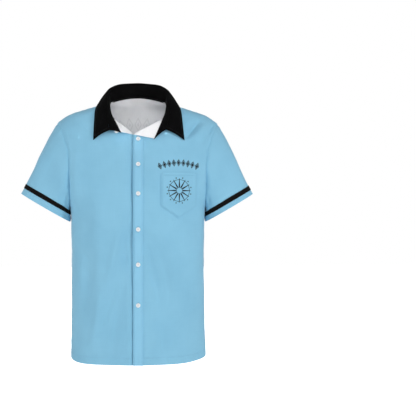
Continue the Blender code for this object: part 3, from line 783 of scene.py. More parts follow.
def sew_sheet(name: str, grids: list[Grid], wall: float, outer, inner, hem: float = 0.0) -> Object:
    """Makes a thin closed shell from grids that share their edges.

    Args:
        name: Object's name.
        grids: Parts of its outer face.
        wall: Thickness of the cloth.
        outer: Material of the outer face and the edges.
        inner: Material of the inner face.
        hem: Width of the turned-up hem, which shows the outer face on the inside.

    Returns:
        The object.
    """
    verts, faces, flats, hems = [], [], [], []
    for grid in grids:
        rows, columns = grid.points.shape[:2]
        index = np.arange(rows * columns).reshape(rows, columns) + sum(len(part) for part in verts)
        quads = np.stack((index[:-1, :-1], index[:-1, 1:], index[1:, 1:], index[1:, :-1]), -1).reshape(-1, 4)
        faces.append(quads[:, ::-1] if grid.flip else quads)
        verts.append(grid.points.reshape(-1, 3))
        flats.append(grid.flat.reshape(-1, 2))
        hems.append((np.ones((rows, columns)) if grid.hem is None else grid.hem).reshape(-1))
    quads = np.concatenate(faces)
    mesh = bpy.data.meshes.new(name)
    mesh.from_pydata(np.concatenate(verts).tolist(), [], quads.tolist())
    layer = mesh.uv_layers.new(name="flat")
    layer.data.foreach_set("uv", np.concatenate(flats)[quads.reshape(-1)].astype(np.float32).reshape(-1))
    mark = mesh.attributes.new("hem", "FLOAT", "POINT")
    mark.data.foreach_set("value", np.concatenate(hems).astype(np.float32))
    join_points(mesh)
    mesh.materials.append(outer)
    mesh.materials.append(inner)
    item = new_object(name, mesh)
    shell = item.modifiers.new("wall", "SOLIDIFY")
    shell.thickness = wall
    shell.offset = -1.0
    shell.material_offset = 1
    plain_mesh(item, name)
    mesh = item.data
    near = np.zeros(len(mesh.vertices))
    mesh.attributes["hem"].data.foreach_get("value", near)
    for face in mesh.polygons:
        place = near[list(face.vertices)].max()
        if face.material_index == 1 and place < hem:
            face.material_index = 0
        if place < 0:
            face.material_index = 1
    mesh.attributes.remove(mesh.attributes["hem"])
    mesh.shade_smooth()
    mesh.set_sharp_from_angle(angle=math.radians(SHARP_ANGLE))
    area = sum(face.area for face in mesh.polygons) / 2
    log.info("%s: %d faces, %.4f square metres", name, len(mesh.polygons), area)
    return item


@dataclass(frozen=True)
class Relief:
    """Rounded ridge along a line, or a groove where it is taken away."""

    size: float
    away: float
    half_width: float

    def at(self, distance: Array) -> Array:
        """Size at distances from the edge that the line follows."""
        return self.size * bell(distance, self.away, self.half_width)


@dataclass(frozen=True)
class SeamRelief:
    """Dip along a seam, the soft ridge beside it and the puckers that cross both."""

    dip: Relief
    ridge: Relief
    pucker: Relief
    pucker_length: float
    pucker_wander: float

    def press(self, height: Array, away: Array, along: Array) -> None:
        """Adds the relief to the heights of points at distances away from the seam and along it."""
        turn = along * 2 * math.pi / self.pucker_length + 2.0 * np.sin(along * self.pucker_wander)
        height += self.ridge.at(away) - self.dip.at(away) + self.pucker.at(away) * np.sin(turn)


# ======== body
@dataclass
class Body:
    """Back, and both fronts with their turned-out corners."""

    figure: Figure
    finishes: Materials
    band_width: float = 0.027
    hem_front: float = -0.7385
    hem_back: float = -0.7405
    hem_side: float = -0.7215
    # Powers with which the hem rises from the front and from the back to the side.
    hem_powers: Pair = (4.0, 2.5)
    underarm: float = -0.305
    shoulder_point: float = -0.0638
    shoulder_front: float = -0.0004
    shoulder_back: float = 0.0002
    body_rows: int = 16
    armhole_rows: int = 14
    # Depth of the armhole on the front and on the back, and its front's further scoop, in degrees.
    armhole_depths: Pair = (38.0, 33.0)
    armhole_scoop: float = 5.5
    scoop_power: float = 0.7
    scoop_span: Pair = (-0.26, -0.14)
    # Powers that round the armhole off in its lower and in its upper half.
    armhole_powers: Pair = (2.1, 2.9)
    centre_rows: int = 6
    roll_rows: int = 4
    front_columns: int = 14
    back_columns: int = 13
    row_ease: float = 1.4
    centre_front_break: float = -0.33
    centre_back_break: float = -0.315
    steps: int = 5
    hem_turn: float = 0.02
    # The hem's stitch line sinks in, and the turned-up cloth under it puckers.
    hem_groove: Relief = Relief(0.0005, 0.02, 0.0025)
    hem_pucker: Relief = Relief(0.0004, 0.012, 0.012)
    hem_pucker_length: float = 0.031
    # Stands in for the distance to the hem where the edge shows the inner face.
    raw_edge: float = -1.0
    allowance: float = 0.0035
    allowance_depth: float = 0.0016
    allowance_fade: float = 0.01
    neck_tuck: float = 3.2
    neck_tuck_columns: int = 10
    neck_tuck_span: Pair = (-0.046, -0.028)
    lap_depth: float = 0.005
    lap_start: Pair = (-0.022, -0.0195)
    lap_start_run: Pair = (0.42, 0.6)
    lap_width: float = 0.0075
    # Groove in the left front beside the band's inner edge.
    band_groove: Relief = Relief(0.0012, 0.0152, 0.0014)
    underarm_half_width: float = 0.1934
    under_lap_foot: float = -0.104
    # Folds fade beside the armhole, but not where the cloth hangs free below it.
    fold_fade: float = 0.05
    fold_free: Pair = (0.3, 0.33)
    seam_relief: SeamRelief = SeamRelief(
        Relief(0.0011, 0.0, 0.0035), Relief(0.0009, 0.01, 0.006), Relief(0.00035, 0.0, 0.012), 0.023, 41.0
    )
    # Height and wave length of the cloth's soft unevenness, which fades near the seams.
    unevenness: tuple = ((0.0009, 0.085), (0.0004, 0.032))
    calm_edge: float = 0.02
    # The turned-out corner: rise and backward lean of the roll, pull at its free edge and spacing.
    roll_up: Triple = (0, -1, 0.25)
    roll_rise: float = 0.0126
    roll_lean: float = 0.0063
    corner_pull: float = 0.7
    corner_columns: int = 25
    corner_ease: float = 1.35
    # The free cloth waves a little between the roll and its edge.
    corner_wave: float = 0.0012
    corner_wave_way: Triple = (0.0, -1.0, 0.3)
    corner_wave_turns: Pair = (5.0, 4.0)
    # Neckline: x and height from the roll to the shoulder, then degrees and height round the back.
    neck_front: tuple = ((0.069, -0.053), (0.0735, -0.04), (0.077, -0.027), (0.0795, -0.013), (0.08, 0.0))
    neck_back: tuple = (
        (180, 0.025), (163, 0.0241), (146, 0.0216), (130, 0.0172), (116, 0.012), (102, 0.0062), (90, 0.0),
    )
    corners: dict = field(
        default_factory=lambda: {
            Side.LEFT: ((-0.0135, -0.0985), (0.0446, -0.0925, -0.11)),
            Side.RIGHT: ((0.0145, -0.0965), (0.0482, -0.102, -0.0935)),
        }
    )
    corner_steps: tuple[float, ...] = (0.06, 0.18, 0.4, 0.7, 1.0)
    grids: dict = field(default_factory=dict)
    armholes: dict = field(default_factory=dict)
    stitches: list = field(default_factory=list)

    @property
    def foot_row(self) -> int:
        """Row of the coarse grid at the foot of the roll line."""
        return self.body_rows + self.centre_rows

    def neck_row(self, side: Side | None) -> int:
        """Row of the fine grid where a panel's neckline starts."""
        back = self.body_rows + self.armhole_rows + 1 - len(self.neck_back)
        return (back if side is None else self.foot_row + self.roll_rows) * self.steps

    def hem_height(self, angle: Array) -> Array:
        """Height of the hem round the body."""
        turn = np.abs(np.degrees(angle))
        front_power, back_power = self.hem_powers
        front = mix(self.hem_front, self.hem_side, np.clip(turn / 90, 0, 1) ** front_power)
        back = mix(self.hem_back, self.hem_side, np.clip((180 - turn) / 90, 0, 1) ** back_power)
        return np.where(turn <= 90, front, back)

    def armhole(self, row: float, face: Face) -> Pair:
        """Angle and height of the armhole's edge at a row counted up from the underarm."""
        turn = math.pi * row / self.armhole_rows
        power = 2.0 / self.armhole_powers[turn > math.pi / 2]
        depth = math.radians(self.armhole_depths[face is Face.BACK])
        middle = (self.underarm + self.shoulder_point) / 2
        reach = (self.shoulder_point - self.underarm) / 2
        height = middle - reach * math.copysign(abs(math.cos(turn)) ** power, math.cos(turn))
        scoop = 0.0
        if face is Face.FRONT:
            scoop = math.radians(self.armhole_scoop) * math.sin(turn) ** self.scoop_power
            scoop *= float(ease(height, *self.scoop_span))
        return math.pi / 2 + face.value * (depth * abs(math.sin(turn)) ** power + scoop), height

    def centre_path(self, side: Side | None) -> list[Pair]:
        """Angles and heights of a panel's inner edge above the underarm row; side None is the back."""
        if side is None:
            rows = self.armhole_rows - len(self.neck_back) + 1
            end_z = self.neck_back[0][1]
            path = [(math.pi, mix(self.centre_back_break, end_z, k / rows)) for k in range(rows)]
            return path + [(math.radians(turn), height) for turn, height in self.neck_back]
        (foot_x, foot_z), _ = self.corners[side]
        end_z = foot_z if side is Side.LEFT else self.under_lap_foot
        count = self.centre_rows
        path = [(-self.band_width / 2, mix(self.centre_front_break, end_z, k / count)) for k in range(count)]
        path.append((foot_x, foot_z))
        top_x, top_z = self.neck_front[0]
        shares = [k / self.roll_rows for k in range(1, self.roll_rows + 1)]
        path += [(mix(foot_x, top_x, share), mix(foot_z, top_z, share)) for share in shares]
        path += self.neck_front[1:]
        return [(float(self.figure.angle_at(x, z)), z) for x, z in path]

    def panel(self, side: Side | None) -> Array:
        """Fine grid of angles, heights and shares across for half of the body, as on the wearer's left."""
        face = Face.BACK if side is None else Face.FRONT
        path = self.centre_path(side)
        if side is None:
            shares = [k / self.back_columns for k in range(self.back_columns + 1)]
            edges = []
        else:
            band = self.band_width / 2 / (self.underarm_half_width * math.pi / 2)
            beyond = [mix(2 * band, 1.0, k / self.front_columns) for k in range(1, self.front_columns + 1)]
            shares = [0.0, band, 2 * band] + beyond
            edges = [-self.band_width / 2, 0.0, self.band_width / 2]
        rows = []
        for row in range(self.body_rows):
            line = []
            for column, share in enumerate(shares):
                angle = mix(path[0][0], math.pi / 2, share)
                top = mix(path[0][1], self.underarm, share)
                height = mix(float(self.hem_height(angle)), top, row / self.body_rows)
                if column < len(edges):
                    angle = float(self.figure.angle_at(edges[column], height))
                    height = mix(float(self.hem_height(angle)), top, row / self.body_rows)
                line.append((angle, height, share))
            rows.append(line)
        for row, inner in enumerate(path):
            outer = self.armhole(row, face)
            line = []
            for column, share in enumerate(shares):
                angle = mix(inner[0], outer[0], share)
                height = mix(inner[1], outer[1], share**self.row_ease)
                if column < len(edges) and inner[0] < 0:
                    angle = float(self.figure.angle_at(edges[column], height))
                line.append((angle, height, share))
            rows.append(line)
        neck = len(rows) - len(self.neck_back if side is None else self.neck_front)
        breaks = (self.body_rows, neck) if side is None else (self.body_rows, self.foot_row, neck)
        fine = refine(np.array(rows), self.steps, 0, breaks)
        return refine(fine, self.steps, 1, () if side is None else (2,))

    def waves(self, flat: Array, seed: int) -> list[Array]:
        """Wide and narrow waves of the cloth's soft unevenness."""
        return [
            rise * ripple(flat, seed + 40 * k, length) for k, (rise, length) in enumerate(self.unevenness)
        ]

    def relief(self, points: Array, flat: Array, hem: Array, seed: int) -> Array:
        """Fine relief: dips and puckers along the seams, the hem's stitch line and soft unevenness."""
        side = travel(points[:, ::-1], 1)[:, ::-1]
        shoulder = travel(points[::-1], 0)[::-1]
        height = np.zeros(points.shape[:2])
        self.seam_relief.press(height, side, flat[..., 1])
        self.seam_relief.press(height, shoulder, flat[..., 0])
        pucker = np.sin(flat[..., 0] * 2 * math.pi / self.hem_pucker_length)
        height += self.hem_pucker.at(hem) * pucker - self.hem_groove.at(hem)
        calm = ease(side, 0.0, self.calm_edge) * ease(shoulder, 0.0, self.calm_edge)
        for wave in self.waves(flat, seed):
            height = height + wave * calm
        return height

    def lift(self, points: Array, angle: Array, share: Array) -> Array:
        """Main and fine folds, faded towards the armhole above the underarm."""
        fade = np.minimum(1.0, (1 - share) / self.fold_fade) ** 0.5
        below = ease(-points[..., 2], *self.fold_free)
        return self.figure.folds(points, angle) * np.maximum(fade, below)

    def drape(self, side: Side | None, mirror: int, seed: int) -> Grid:
        """Outer face of a front, or of one half of the back.

        Args:
            side: Front's side, or None for the back.
            mirror: 1 for the wearer's left half and -1 for the right one.
            seed: Picks the soft unevenness.

        Returns:
            The grid, from the centre to the side.
        """
        plan = self.panel(side)
        angle, height, share = plan[..., 0] * mirror, plan[..., 1], plan[..., 2]
        base = self.figure.point(angle, height)
        normal = self.figure.normal(angle, height)
        start = math.pi * mirror if side is None else 0.0
        flat = np.stack((self.figure.girth(angle, height, start), height), -1)
        hem = height - self.hem_height(angle)
        lift = self.lift(base, angle, share) + self.relief(base, flat, hem, seed)
        hem[self.neck_row(side) :, 0] = self.raw_edge
        if side is Side.RIGHT:
            start = mix(*self.lap_start, ease(-base[..., 2], *self.lap_start_run))
            lift -= self.lap_depth * ease(base[..., 0] - start, 0.0, self.lap_width)
        elif side is Side.LEFT:
            lift -= self.band_groove.at(base[..., 0])
        points = base + normal * lift[..., None]
        if side is None:
            points[..., 1] = np.maximum(points[..., 1], self.shoulder_back)
        else:
            points[..., 1] = np.minimum(points[..., 1], self.shoulder_front)
            points, flat = (self.tuck_neck(values, base[..., 2]) for values in (points, flat))
        self.armholes[(side is None, mirror)] = plan[self.body_rows * self.steps :, -1]
        grid = Grid(points, flat, hem, flip=mirror < 0)
        return self.add_allowance(grid, normal[:, -1]) if side is None else grid

    def add_allowance(self, grid: Grid, normal: Array) -> Grid:
        """The back with its side seam's allowance, which lies under the front and closes the seam."""
        height = grid.points[:, -1, 2]
        share = (1 - ease(height, self.underarm - self.allowance_fade, self.underarm))[:, None]
        step = grid.points[:, -1] - normal * self.allowance_depth * share
        end = step + np.array((0, -self.allowance, 0)) * share
        grid.points = np.concatenate((grid.points, step[:, None], end[:, None]), 1)
        grid.flat = np.concatenate((grid.flat, grid.flat[:, -1:], grid.flat[:, -1:]), 1)
        grid.hem = np.concatenate((grid.hem, grid.hem[:, -1:], grid.hem[:, -1:]), 1)
        return grid

    def tuck_neck(self, values: Array, height: Array) -> Array:
        """A front's grid with the upper part of its neckline drawn back under the collar."""
        columns = np.arange(values.shape[1], dtype=float)
        tuck = ease(height[:, 0], *self.neck_tuck_span) * self.neck_tuck
        place = columns + tuck[:, None] * np.clip(1 - columns / self.neck_tuck_columns, 0, 1)
        low = np.minimum(place.astype(int), values.shape[1] - 2)
        rows = np.arange(len(values))[:, None]
        return mix(values[rows, low], values[rows, low + 1], (place - low)[..., None])

    def corner(self, side: Side, front: Grid) -> Grid:
        """Turned-out corner of a front, from the roll line to its free edge."""
        low, high = self.foot_row * self.steps, (self.foot_row + self.roll_rows) * self.steps
        start = front.points[low : high + 1, 0][:, None]
        tip = np.array(self.corners[side][1]) * np.array((side.value, 1, 1))
        share = np.linspace(0, 1, high - low + 1)[:, None, None]
        end = mix(start[:1], tip, share)
        step = (np.linspace(0, 1, self.corner_columns) ** self.corner_ease)[None, :, None]
        rise = unit(np.array(self.roll_up))
        pull = (rise * self.roll_rise + unit(start - end) * self.roll_lean) * np.clip(share * 2, 0, 1)
        points = hermite(start, end, pull, (end - start) * self.corner_pull, step)
        across, along = self.corner_wave_turns
        wave = np.sin(step * across + share * along + side.value) * np.sin(math.pi * step) * share
        points = points + np.array(self.corner_wave_way) * (self.corner_wave * wave)
        flat = np.stack((travel(points, 1) * side.value + 0.5, travel(points, 0) * 0.5 + points[..., 2]), -1)
        return Grid(points[:, ::-1], flat[:, ::-1], None, flip=side is Side.RIGHT)

    def coarse_corner_edge(self, side: Side) -> list[Vector]:
        """Points along the top edge of the turned corner at the collar's sections."""
        x, y, z = self.corners[side][1]
        start = self.neck_point(side, *self.neck_front[0])
        end = Vector((x * side.value, y, z))
        pull = Vector(self.roll_up).normalized() * self.roll_rise
        pull += (start - end).normalized() * self.roll_lean
        end_pull = (end - start) * self.corner_pull
        return [hermite(start, end, pull, end_pull, step) for step in self.corner_steps]

    def neck_point(self, side: Side, x: float, z: float) -> Vector:
        """Point of a front's neckline."""
        angle = float(self.figure.angle_at(x, z)) * side.value
        point = Vector(self.figure.point(angle, z))
        point.y = min(point.y, self.shoulder_front)
        return point

    def build(self) -> list[Object]:
        """Builds the back and the fronts."""
        cloth = self.finishes
        halves = [self.drape(None, mirror, BACK_SEED) for mirror in (1, -1)]
        # The back's grids run the other way round the figure than the fronts'.
        for half in halves:
            half.flip = not half.flip
        centre = self.neck_row(None) + 1
        middle = (halves[0].points[:centre, 0] + halves[1].points[:centre, 0]) / 2
        for half in halves:
            half.points[:centre, 0] = middle
            self.add_stitch(half)
        back = sew_sheet("back_panel", halves, CLOTH, cloth["blue_back"], cloth["white_back"], self.hem_turn)
        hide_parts("back")
        items = [back]
        for side, seed, outer in ((Side.LEFT, LEFT_SEED, "blue_chest"), (Side.RIGHT, RIGHT_SEED, "blue")):
            word = side.name.lower()
            front = self.grids[side] = self.drape(side, side.value, seed)
            grids = [front, self.corner(side, front)]
            item = sew_sheet(f"{word}_front_panel", grids, CLOTH, cloth[outer], cloth["white"], self.hem_turn)
            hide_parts(f"{word}_front")
            items.append(item)
            self.add_stitch(front)
        return items

    def add_stitch(self, grid: Grid) -> None:
        """Adds the hem's stitch line on a panel."""
        grid = grid.lifted(STITCH_RISE)
        points = []
        count = self.body_rows * self.steps
        for column in range(grid.points.shape[1]):
            row = np.interp(self.hem_turn, grid.hem[:count, column], np.arange(count))
            low = int(row)
            points.append(mix(grid.points[low, column], grid.points[low + 1, column], row - low))
        self.stitches.append(np.array(points))


@dataclass
class SewnPart:
    """Part that is sewn to the body, with its stitch lines."""

    body: Body
    finishes: Materials
    stitches: list = field(default_factory=list)


@dataclass
class Band(SewnPart):
    """Front band over the edge of the left front, stitched along both edges."""

    top: float = -0.1045
    puff: float = 0.0005
    puff_edge: float = 0.12
    wave: float = 0.0005
    wave_length: float = 0.024
    wave_stretch: Pair = (1, 0.6)
    # Stitch lines: their places across the band, and the grooves that they draw in.
    stitch_places: Pair = (0.11, 0.89)
    groove: float = 0.0003
    groove_width: float = 0.05

    def build(self) -> list[Object]:
        """Builds the band."""
        body, front = self.body, self.body.grids[Side.LEFT]
        keep = front.points[: body.foot_row * body.steps + 1, 0, 2] <= self.top
        rows, columns = slice(int(keep.sum())), slice(2 * body.steps + 1)
        points = front.points[rows, columns] + np.array((0, -SEAM_GAP - CLOTH, 0))
        flat = front.flat[rows, columns]
        across = np.linspace(0, 1, 2 * body.steps + 1)[None, :]
        puff = self.puff * np.clip(np.minimum(across, 1 - across) / self.puff_edge, 0, 1)
        puff = puff + self.wave * ripple(flat * self.wave_stretch, BAND_SEED, self.wave_length)
        groove = sum(bell(across, place, self.groove_width) for place in self.stitch_places)
        lift = np.array((0, -1, 0)) * (puff - self.groove * groove)[..., None]
        grid = Grid(points + lift, flat, front.hem[rows, columns])
        item = sew_sheet("front_band", [grid], CLOTH, self.finishes["blue_band"], self.finishes["white"])
        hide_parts("placket")
        raised = grid.lifted(EDGE_STITCH_RISE)
        for place in self.stitch_places:
            self.stitches.append(raised.line(place * 2 * body.steps, 1))
        body.grids["band"] = grid
        return [item]


@dataclass
class Pocket(SewnPart):
    """Patch pocket with a pointed foot and a stitched top hem."""

    x: Pair = (0.063, 0.164)
    # Heights of the mouth, of the lower corners and of the point.
    z: Triple = (-0.206, -0.299, -0.3343)
    columns: int = 41
    rows: int = 49
    width: float = 0.101
    drop: float = 0.11
    hem: float = 0.007
    rise: float = 0.0005
    swell: float = 0.0013
    swell_edge: float = 0.007
    # The mouth stands off a little over its upper share.
    gape: float = 0.0018
    gape_from: float = 0.75
    # Grooves of the stitches, round the edge and along the mouth's hem, where it deepens from the edge in.
    groove: Relief = Relief(0.0007, 0.003, 0.0012)
    hem_groove: Pair = (0.0004, 0.0013)
    hem_groove_run: Pair = (0.002, 0.012)
    hem_groove_width: float = 0.0018
    stitch_inset: float = 0.03

    def spread(self) -> tuple[Array, Array]:
        """Shares across the pocket and up it."""
        return np.linspace(0, 1, self.columns)[None, :], np.linspace(0, 1, self.rows)[:, None]

    def lift(self, base: Array, angle: Array, flat: Array) -> Array:
        """Heights of the pocket over the figure, row by row from its foot."""
        across, up = self.spread()
        lift = self.body.lift(base, angle, angle / (math.pi / 2))
        for wave in self.body.waves(flat, LEFT_SEED):
            lift = lift + wave
        edge = np.minimum(np.minimum(across, 1 - across) * self.width, up * self.drop)
        lift = lift + CLOTH + self.rise + self.swell * ease(edge, 0.0, self.swell_edge)
        lift = lift - self.groove.at(edge)
        sink = mix(*self.hem_groove, ease(edge, *self.hem_groove_run))
        lift = lift - sink * bell((1 - up) * self.drop + 0 * across, self.hem, self.hem_groove_width)
        return lift + self.gape * ease(up, self.gape_from, 1.0) * np.sin(math.pi * across)

    def build(self) -> list[Object]:
        """Builds the pocket."""
        across, up = self.spread()
        top, corner, tip = self.z
        bottom = mix(corner, tip, 1 - np.abs(2 * across - 1))
        height = mix(bottom, top, up) + 0 * across
        figure = self.body.figure
        angle = figure.angle_at(mix(*self.x, across) + 0 * up, height)
        base = figure.point(angle, height)
        flat = np.stack((figure.girth(angle, height, 0.0), height), -1)
        grid = Grid(base + figure.normal(angle, height) * self.lift(base, angle, flat)[..., None], flat)
        item = sew_sheet("pocket_patch", [grid], CLOTH, self.finishes["blue_pocket"], self.finishes["white"])
        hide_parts("chest_pocket")
        raised = grid.lifted(EDGE_STITCH_RISE)
        last_column, last_row = self.columns - 1, self.rows - 1
        inset = self.stitch_inset * last_column
        self.stitches += [raised.line(column, 1)[2:] for column in (inset, last_column - inset)]
        self.stitches.append(raised.line(self.stitch_inset * last_row)[1:-1])
        self.stitches.append(raised.line(last_row * (1 - self.hem / self.drop)))
        return [item]


# ======== collar
@dataclass
class Collar(SewnPart):
    """Stand and leaf, each in one piece from open end to open end."""

    # Joint of stand and leaf x, y, z, edge of the leaf x, y, z and radius of the roll, from the centre back.
    back: tuple = (
        (0.0, 0.0765, 0.0655, 0.0, 0.0885, 0.0185, 0.0044),
        (0.0365, 0.069, 0.0622, 0.0445, 0.081, 0.016, 0.0044),
        (0.064, 0.0455, 0.0545, 0.085, 0.054, 0.006, 0.0044),
        (0.0835, 0.003, 0.033, 0.1145, 0.004, -0.006, 0.0042),
        (0.088, -0.042, 0.006, 0.1225, -0.035, -0.0215, 0.0038),
    )
    fronts: dict = field(
        default_factory=lambda: {
            Side.LEFT: (
                (0.087, -0.074, -0.033, 0.1255, -0.063, -0.0535, 0.0034),
                (0.0825, -0.087, -0.061, 0.128, -0.0795, -0.087, 0.003),
                (0.0773, -0.093, -0.0842, 0.1305, -0.088, -0.1135, 0.0021),
            ),
            Side.RIGHT: (
                (0.088, -0.076, -0.034, 0.124, -0.063, -0.0535, 0.0034),
                (0.0845, -0.09, -0.064, 0.125, -0.0795, -0.087, 0.003),
                (0.08, -0.096, -0.0868, 0.1255, -0.088, -0.114, 0.0021),
            ),
        }
    )
    # Ways that the cloth's thickness faces on the left: at the neckline's end and along the roll.
    neck_end_lean: Triple = (-0.75, 0, 0.65)
    roll_lean: Triple = (-0.35, -0.9, 0.35)
    room: float = 0.0005
    # The stand's foot covers the neck seam, and its inset grows from the front to the back.
    foot_cover: float = 0.0024
    foot_cover_flat: float = 0.004
    foot_inset: float = 0.0012
    foot_inset_run: Pair = (-0.06, 0.03)
    stand_bow: float = 0.0015
    roll_spans: int = 4
    leaf_swell: float = 0.0025
    steps: int = 6
    # Groove of the leaf's edge stitching, and the share of the leaf's height that the ends leave free.
    groove: Relief = Relief(0.0004, 0.006, 0.0013)
    unstitched: float = 0.35
    corner_rows: int = 4
    wave: float = 0.0006
    wave_length: float = 0.06
    wave_fade: Pair = (0.004, 0.02)
    foot_stitch_row: float = 1.6
    stand_lines: list = field(default_factory=list)

    def seam(self, side: Side) -> list[tuple[float, Vector, Vector]]:
        """Stations of the neck seam: place along the collar, point on the blue face and on the white face."""
        body, figure = self.body, self.body.figure
        sign = side.value
        seam = []
        # Stations run from 0 at the centre back by 3 at the shoulder and 5 at the roll to 7 at the open end.
        last = len(body.neck_back) - 1
        for k, (turn, height) in enumerate(body.neck_back):
            angle = sign * math.radians(turn)
            point = Vector(figure.point(angle, height))
            normal = Vector(figure.normal(angle, height))
            seam.append((3 * k / last, point, point - normal * CLOTH))
        neck = body.neck_front[:-1][::-1]
        for k, (x, z) in enumerate(neck, 1):
            point = body.neck_point(side, x, z)
            inward = -Vector(figure.normal(float(figure.angle_at(x, z)) * sign, z))
            if k == len(neck):
                across, out, up = self.neck_end_lean
                inward = Vector((sign * across, out, up)).normalized()
            seam.append((3 + 2 * k / len(neck), point, point + inward * CLOTH))
        across, out, up = self.roll_lean
        for step, point in zip(body.corner_steps, body.coarse_corner_edge(side)):
            outward = Vector((sign * across * (1 - step), out, up)).normalized()
            seam.append((5 + 2 * step, point, point + outward * CLOTH))
        return seam

    def section(self, side: Side, station: float) -> tuple[Vector, Vector, float]:
        """Joint of stand and leaf, edge of the leaf and radius of the roll at a station."""
        rows = np.array(self.back + self.fronts[side])
        k = int(np.clip(math.floor(station), 0, len(rows) - 2))
        padded = np.concatenate((2 * rows[:1] - rows[1:2], rows, 2 * rows[-1:] - rows[-2:-1]))
        before, start, end, after = padded[k], padded[k + 1], padded[k + 2], padded[k + 3]
        values = hermite(start, end, (end - before) / 2, (after - start) / 2, station - k)
        joint = Vector((side.value * values[0], values[1], values[2]))
        edge = Vector((side.value * values[3], values[4], values[5]))
        return joint, edge, float(mix(start[6], end[6], station - k))

    def leaf_line(self, up: Vector, joint: Vector, edge: Vector, radius: float) -> list[Vector]:
        """Points of the leaf's face: round the roll from the joint, then down to the edge."""
        chord = edge - joint
        over = (chord - up * chord.dot(up)).normalized()
        centre = joint + over * radius
        reach = edge - centre
        distance = math.hypot(reach.dot(over), reach.dot(up))
        turn = math.atan2(reach.dot(over), reach.dot(up)) + math.asin(min(1.0, radius / distance))
        spans = self.roll_spans
        angles = [turn * k / spans for k in range(spans + 1)]
        ways = [up * math.sin(angle) - over * math.cos(angle) for angle in angles]
        line = [centre + way * radius for way in ways]
        start, swell = line[-1], ways[-1] * self.leaf_swell
        shares = [k / spans for k in range(1, spans + 1)]
        return line + [start.lerp(edge, share) + swell * math.sin(math.pi * share) for share in shares]

    def lines(self, side: Side) -> tuple[list, list]:
        """Sections of the stand and the leaf at the stations of one side."""
        seam = self.seam(side)
        stand, leaf = [], []
        for k, (station, blue_face, white_face) in enumerate(seam):
            joint, edge, radius = self.section(side, station)
            up = (joint - white_face).normalized()
            along = seam[min(k + 1, len(seam) - 1)][1] - seam[max(k - 1, 0)][1]
            rise = (up - along * up.dot(along) / along.length_squared).normalized()
            lift = SEAM_GAP + self.room + max(0.0, (blue_face - white_face).dot(rise))
            foot = white_face + up * lift / up.dot(rise)
            over = (edge - joint) - up * (edge - joint).dot(up)
            bow = over.normalized() * -self.stand_bow
            head = joint - up * SEAM_GAP
            shares = (0, 1 / 3, 2 / 3, 1)
            stand.append([foot.lerp(head, share) + bow * math.sin(math.pi * share) for share in shares])
            leaf.append(self.leaf_line(up, joint, edge, radius))
        return stand, leaf

    def build(self) -> list[Object]:
        """Builds the stand and the leaf."""
        right_stand, right_leaf = self.lines(Side.RIGHT)
        left_stand, left_leaf = self.lines(Side.LEFT)
        self.stand_lines = np.array(right_stand[:0:-1] + left_stand)
        leaf_lines = np.array(right_leaf[:0:-1] + left_leaf)
        items = []
        black = self.finishes["black"]
        for node, lines, shape, cut, area in (
            ("collar_stand", self.stand_lines, self.shape_stand, (0.61, 0.046), 0.0185),
            ("collar_leaf", leaf_lines, self.shape_leaf, (0.7, 0.082), 0.0325),
        ):
            fine = refine(refine(np.moveaxis(lines, 1, 0), self.steps, 0), self.steps, 1)
            sheet = shape(Grid(fine, np.stack((travel(fine, 1), travel(fine, 0)), -1)))
            item = sew_sheet(f"{node}_cloth", [sheet], COLLAR_CLOTH, black, black)
            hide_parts(node)
            items.append(item)
        return items

    def shape_stand(self, sheet: Grid) -> Grid:
        """Stand with its foot drawn over the neck seam, and its stitch line."""
        rows = sheet.points
        down = unit(rows[0] - rows[1])
        inset = self.foot_inset * ease(rows[0][:, 1:2], *self.foot_inset_run)
        cover = rows[0] + down * self.foot_cover - unit(rows[0] * np.array((1, 1, 0))) * inset
        flat = np.concatenate((sheet.flat[:1] - np.array((0, self.foot_cover_flat)), sheet.flat))
        grid = Grid(np.concatenate((cover[None], rows)), flat)
        self.stitches.append(grid.lifted(STITCH_RISE).line(self.foot_stitch_row))
        return grid

    def shape_leaf(self, sheet: Grid) -> Grid:
        """Leaf with its edge stitching and a soft swell between stitches and edge."""
        to_edge = travel(sheet.points[::-1], 0)[::-1]
        ends = np.minimum(travel(sheet.points, 1), travel(sheet.points[:, ::-1], 1)[:, ::-1])
        edge = np.minimum(to_edge, ends)
        wave = self.wave * ripple(sheet.flat, LEAF_SEED, self.wave_length) * ease(edge, *self.wave_fade)
        grid = sheet.lifted(wave - self.groove.at(edge))
        raised = grid.lifted(EDGE_STITCH_RISE).points
        # The stitches run round the three free sides.
        rows, columns = raised.shape[:2]
        path = []
        inset = self.groove.away
        for column in np.flatnonzero(ends.min(0) >= inset):
            row = np.interp(-inset, -to_edge[:, column], np.arange(rows))
            path.append(raised[int(row), column])
        first = int(np.argmax(ends[-1] >= inset))
        start, end = int(self.unstitched * rows), rows - self.corner_rows
        left = raised[start:end, first]
        right = raised[end - 1 : start : -1, columns - 1 - first]
        self.stitches.append(np.concatenate((left, path, right)))
        return grid


# ======== sleeves
@dataclass(frozen=True)
class StripePlace:
    """Distances of a stripe's two edges from the hem, on the sleeve's outer and on its inner side."""

    low: Pair
    high: Pair
    lap: float = 0.0002

    def edges(self, across: float) -> Pair:
        """Both distances at a share of the way across the sleeve."""
        return mix(*self.low, across), mix(*self.high, across)

    def turn(self) -> float:
        """Width of the turned-up hem, whose edge lies under the stripe's lower edge."""
        return max(self.low) + self.lap

    def width(self) -> float:
        """Mean width of the stripe."""
        return (sum(self.high) - sum(self.low)) / 2


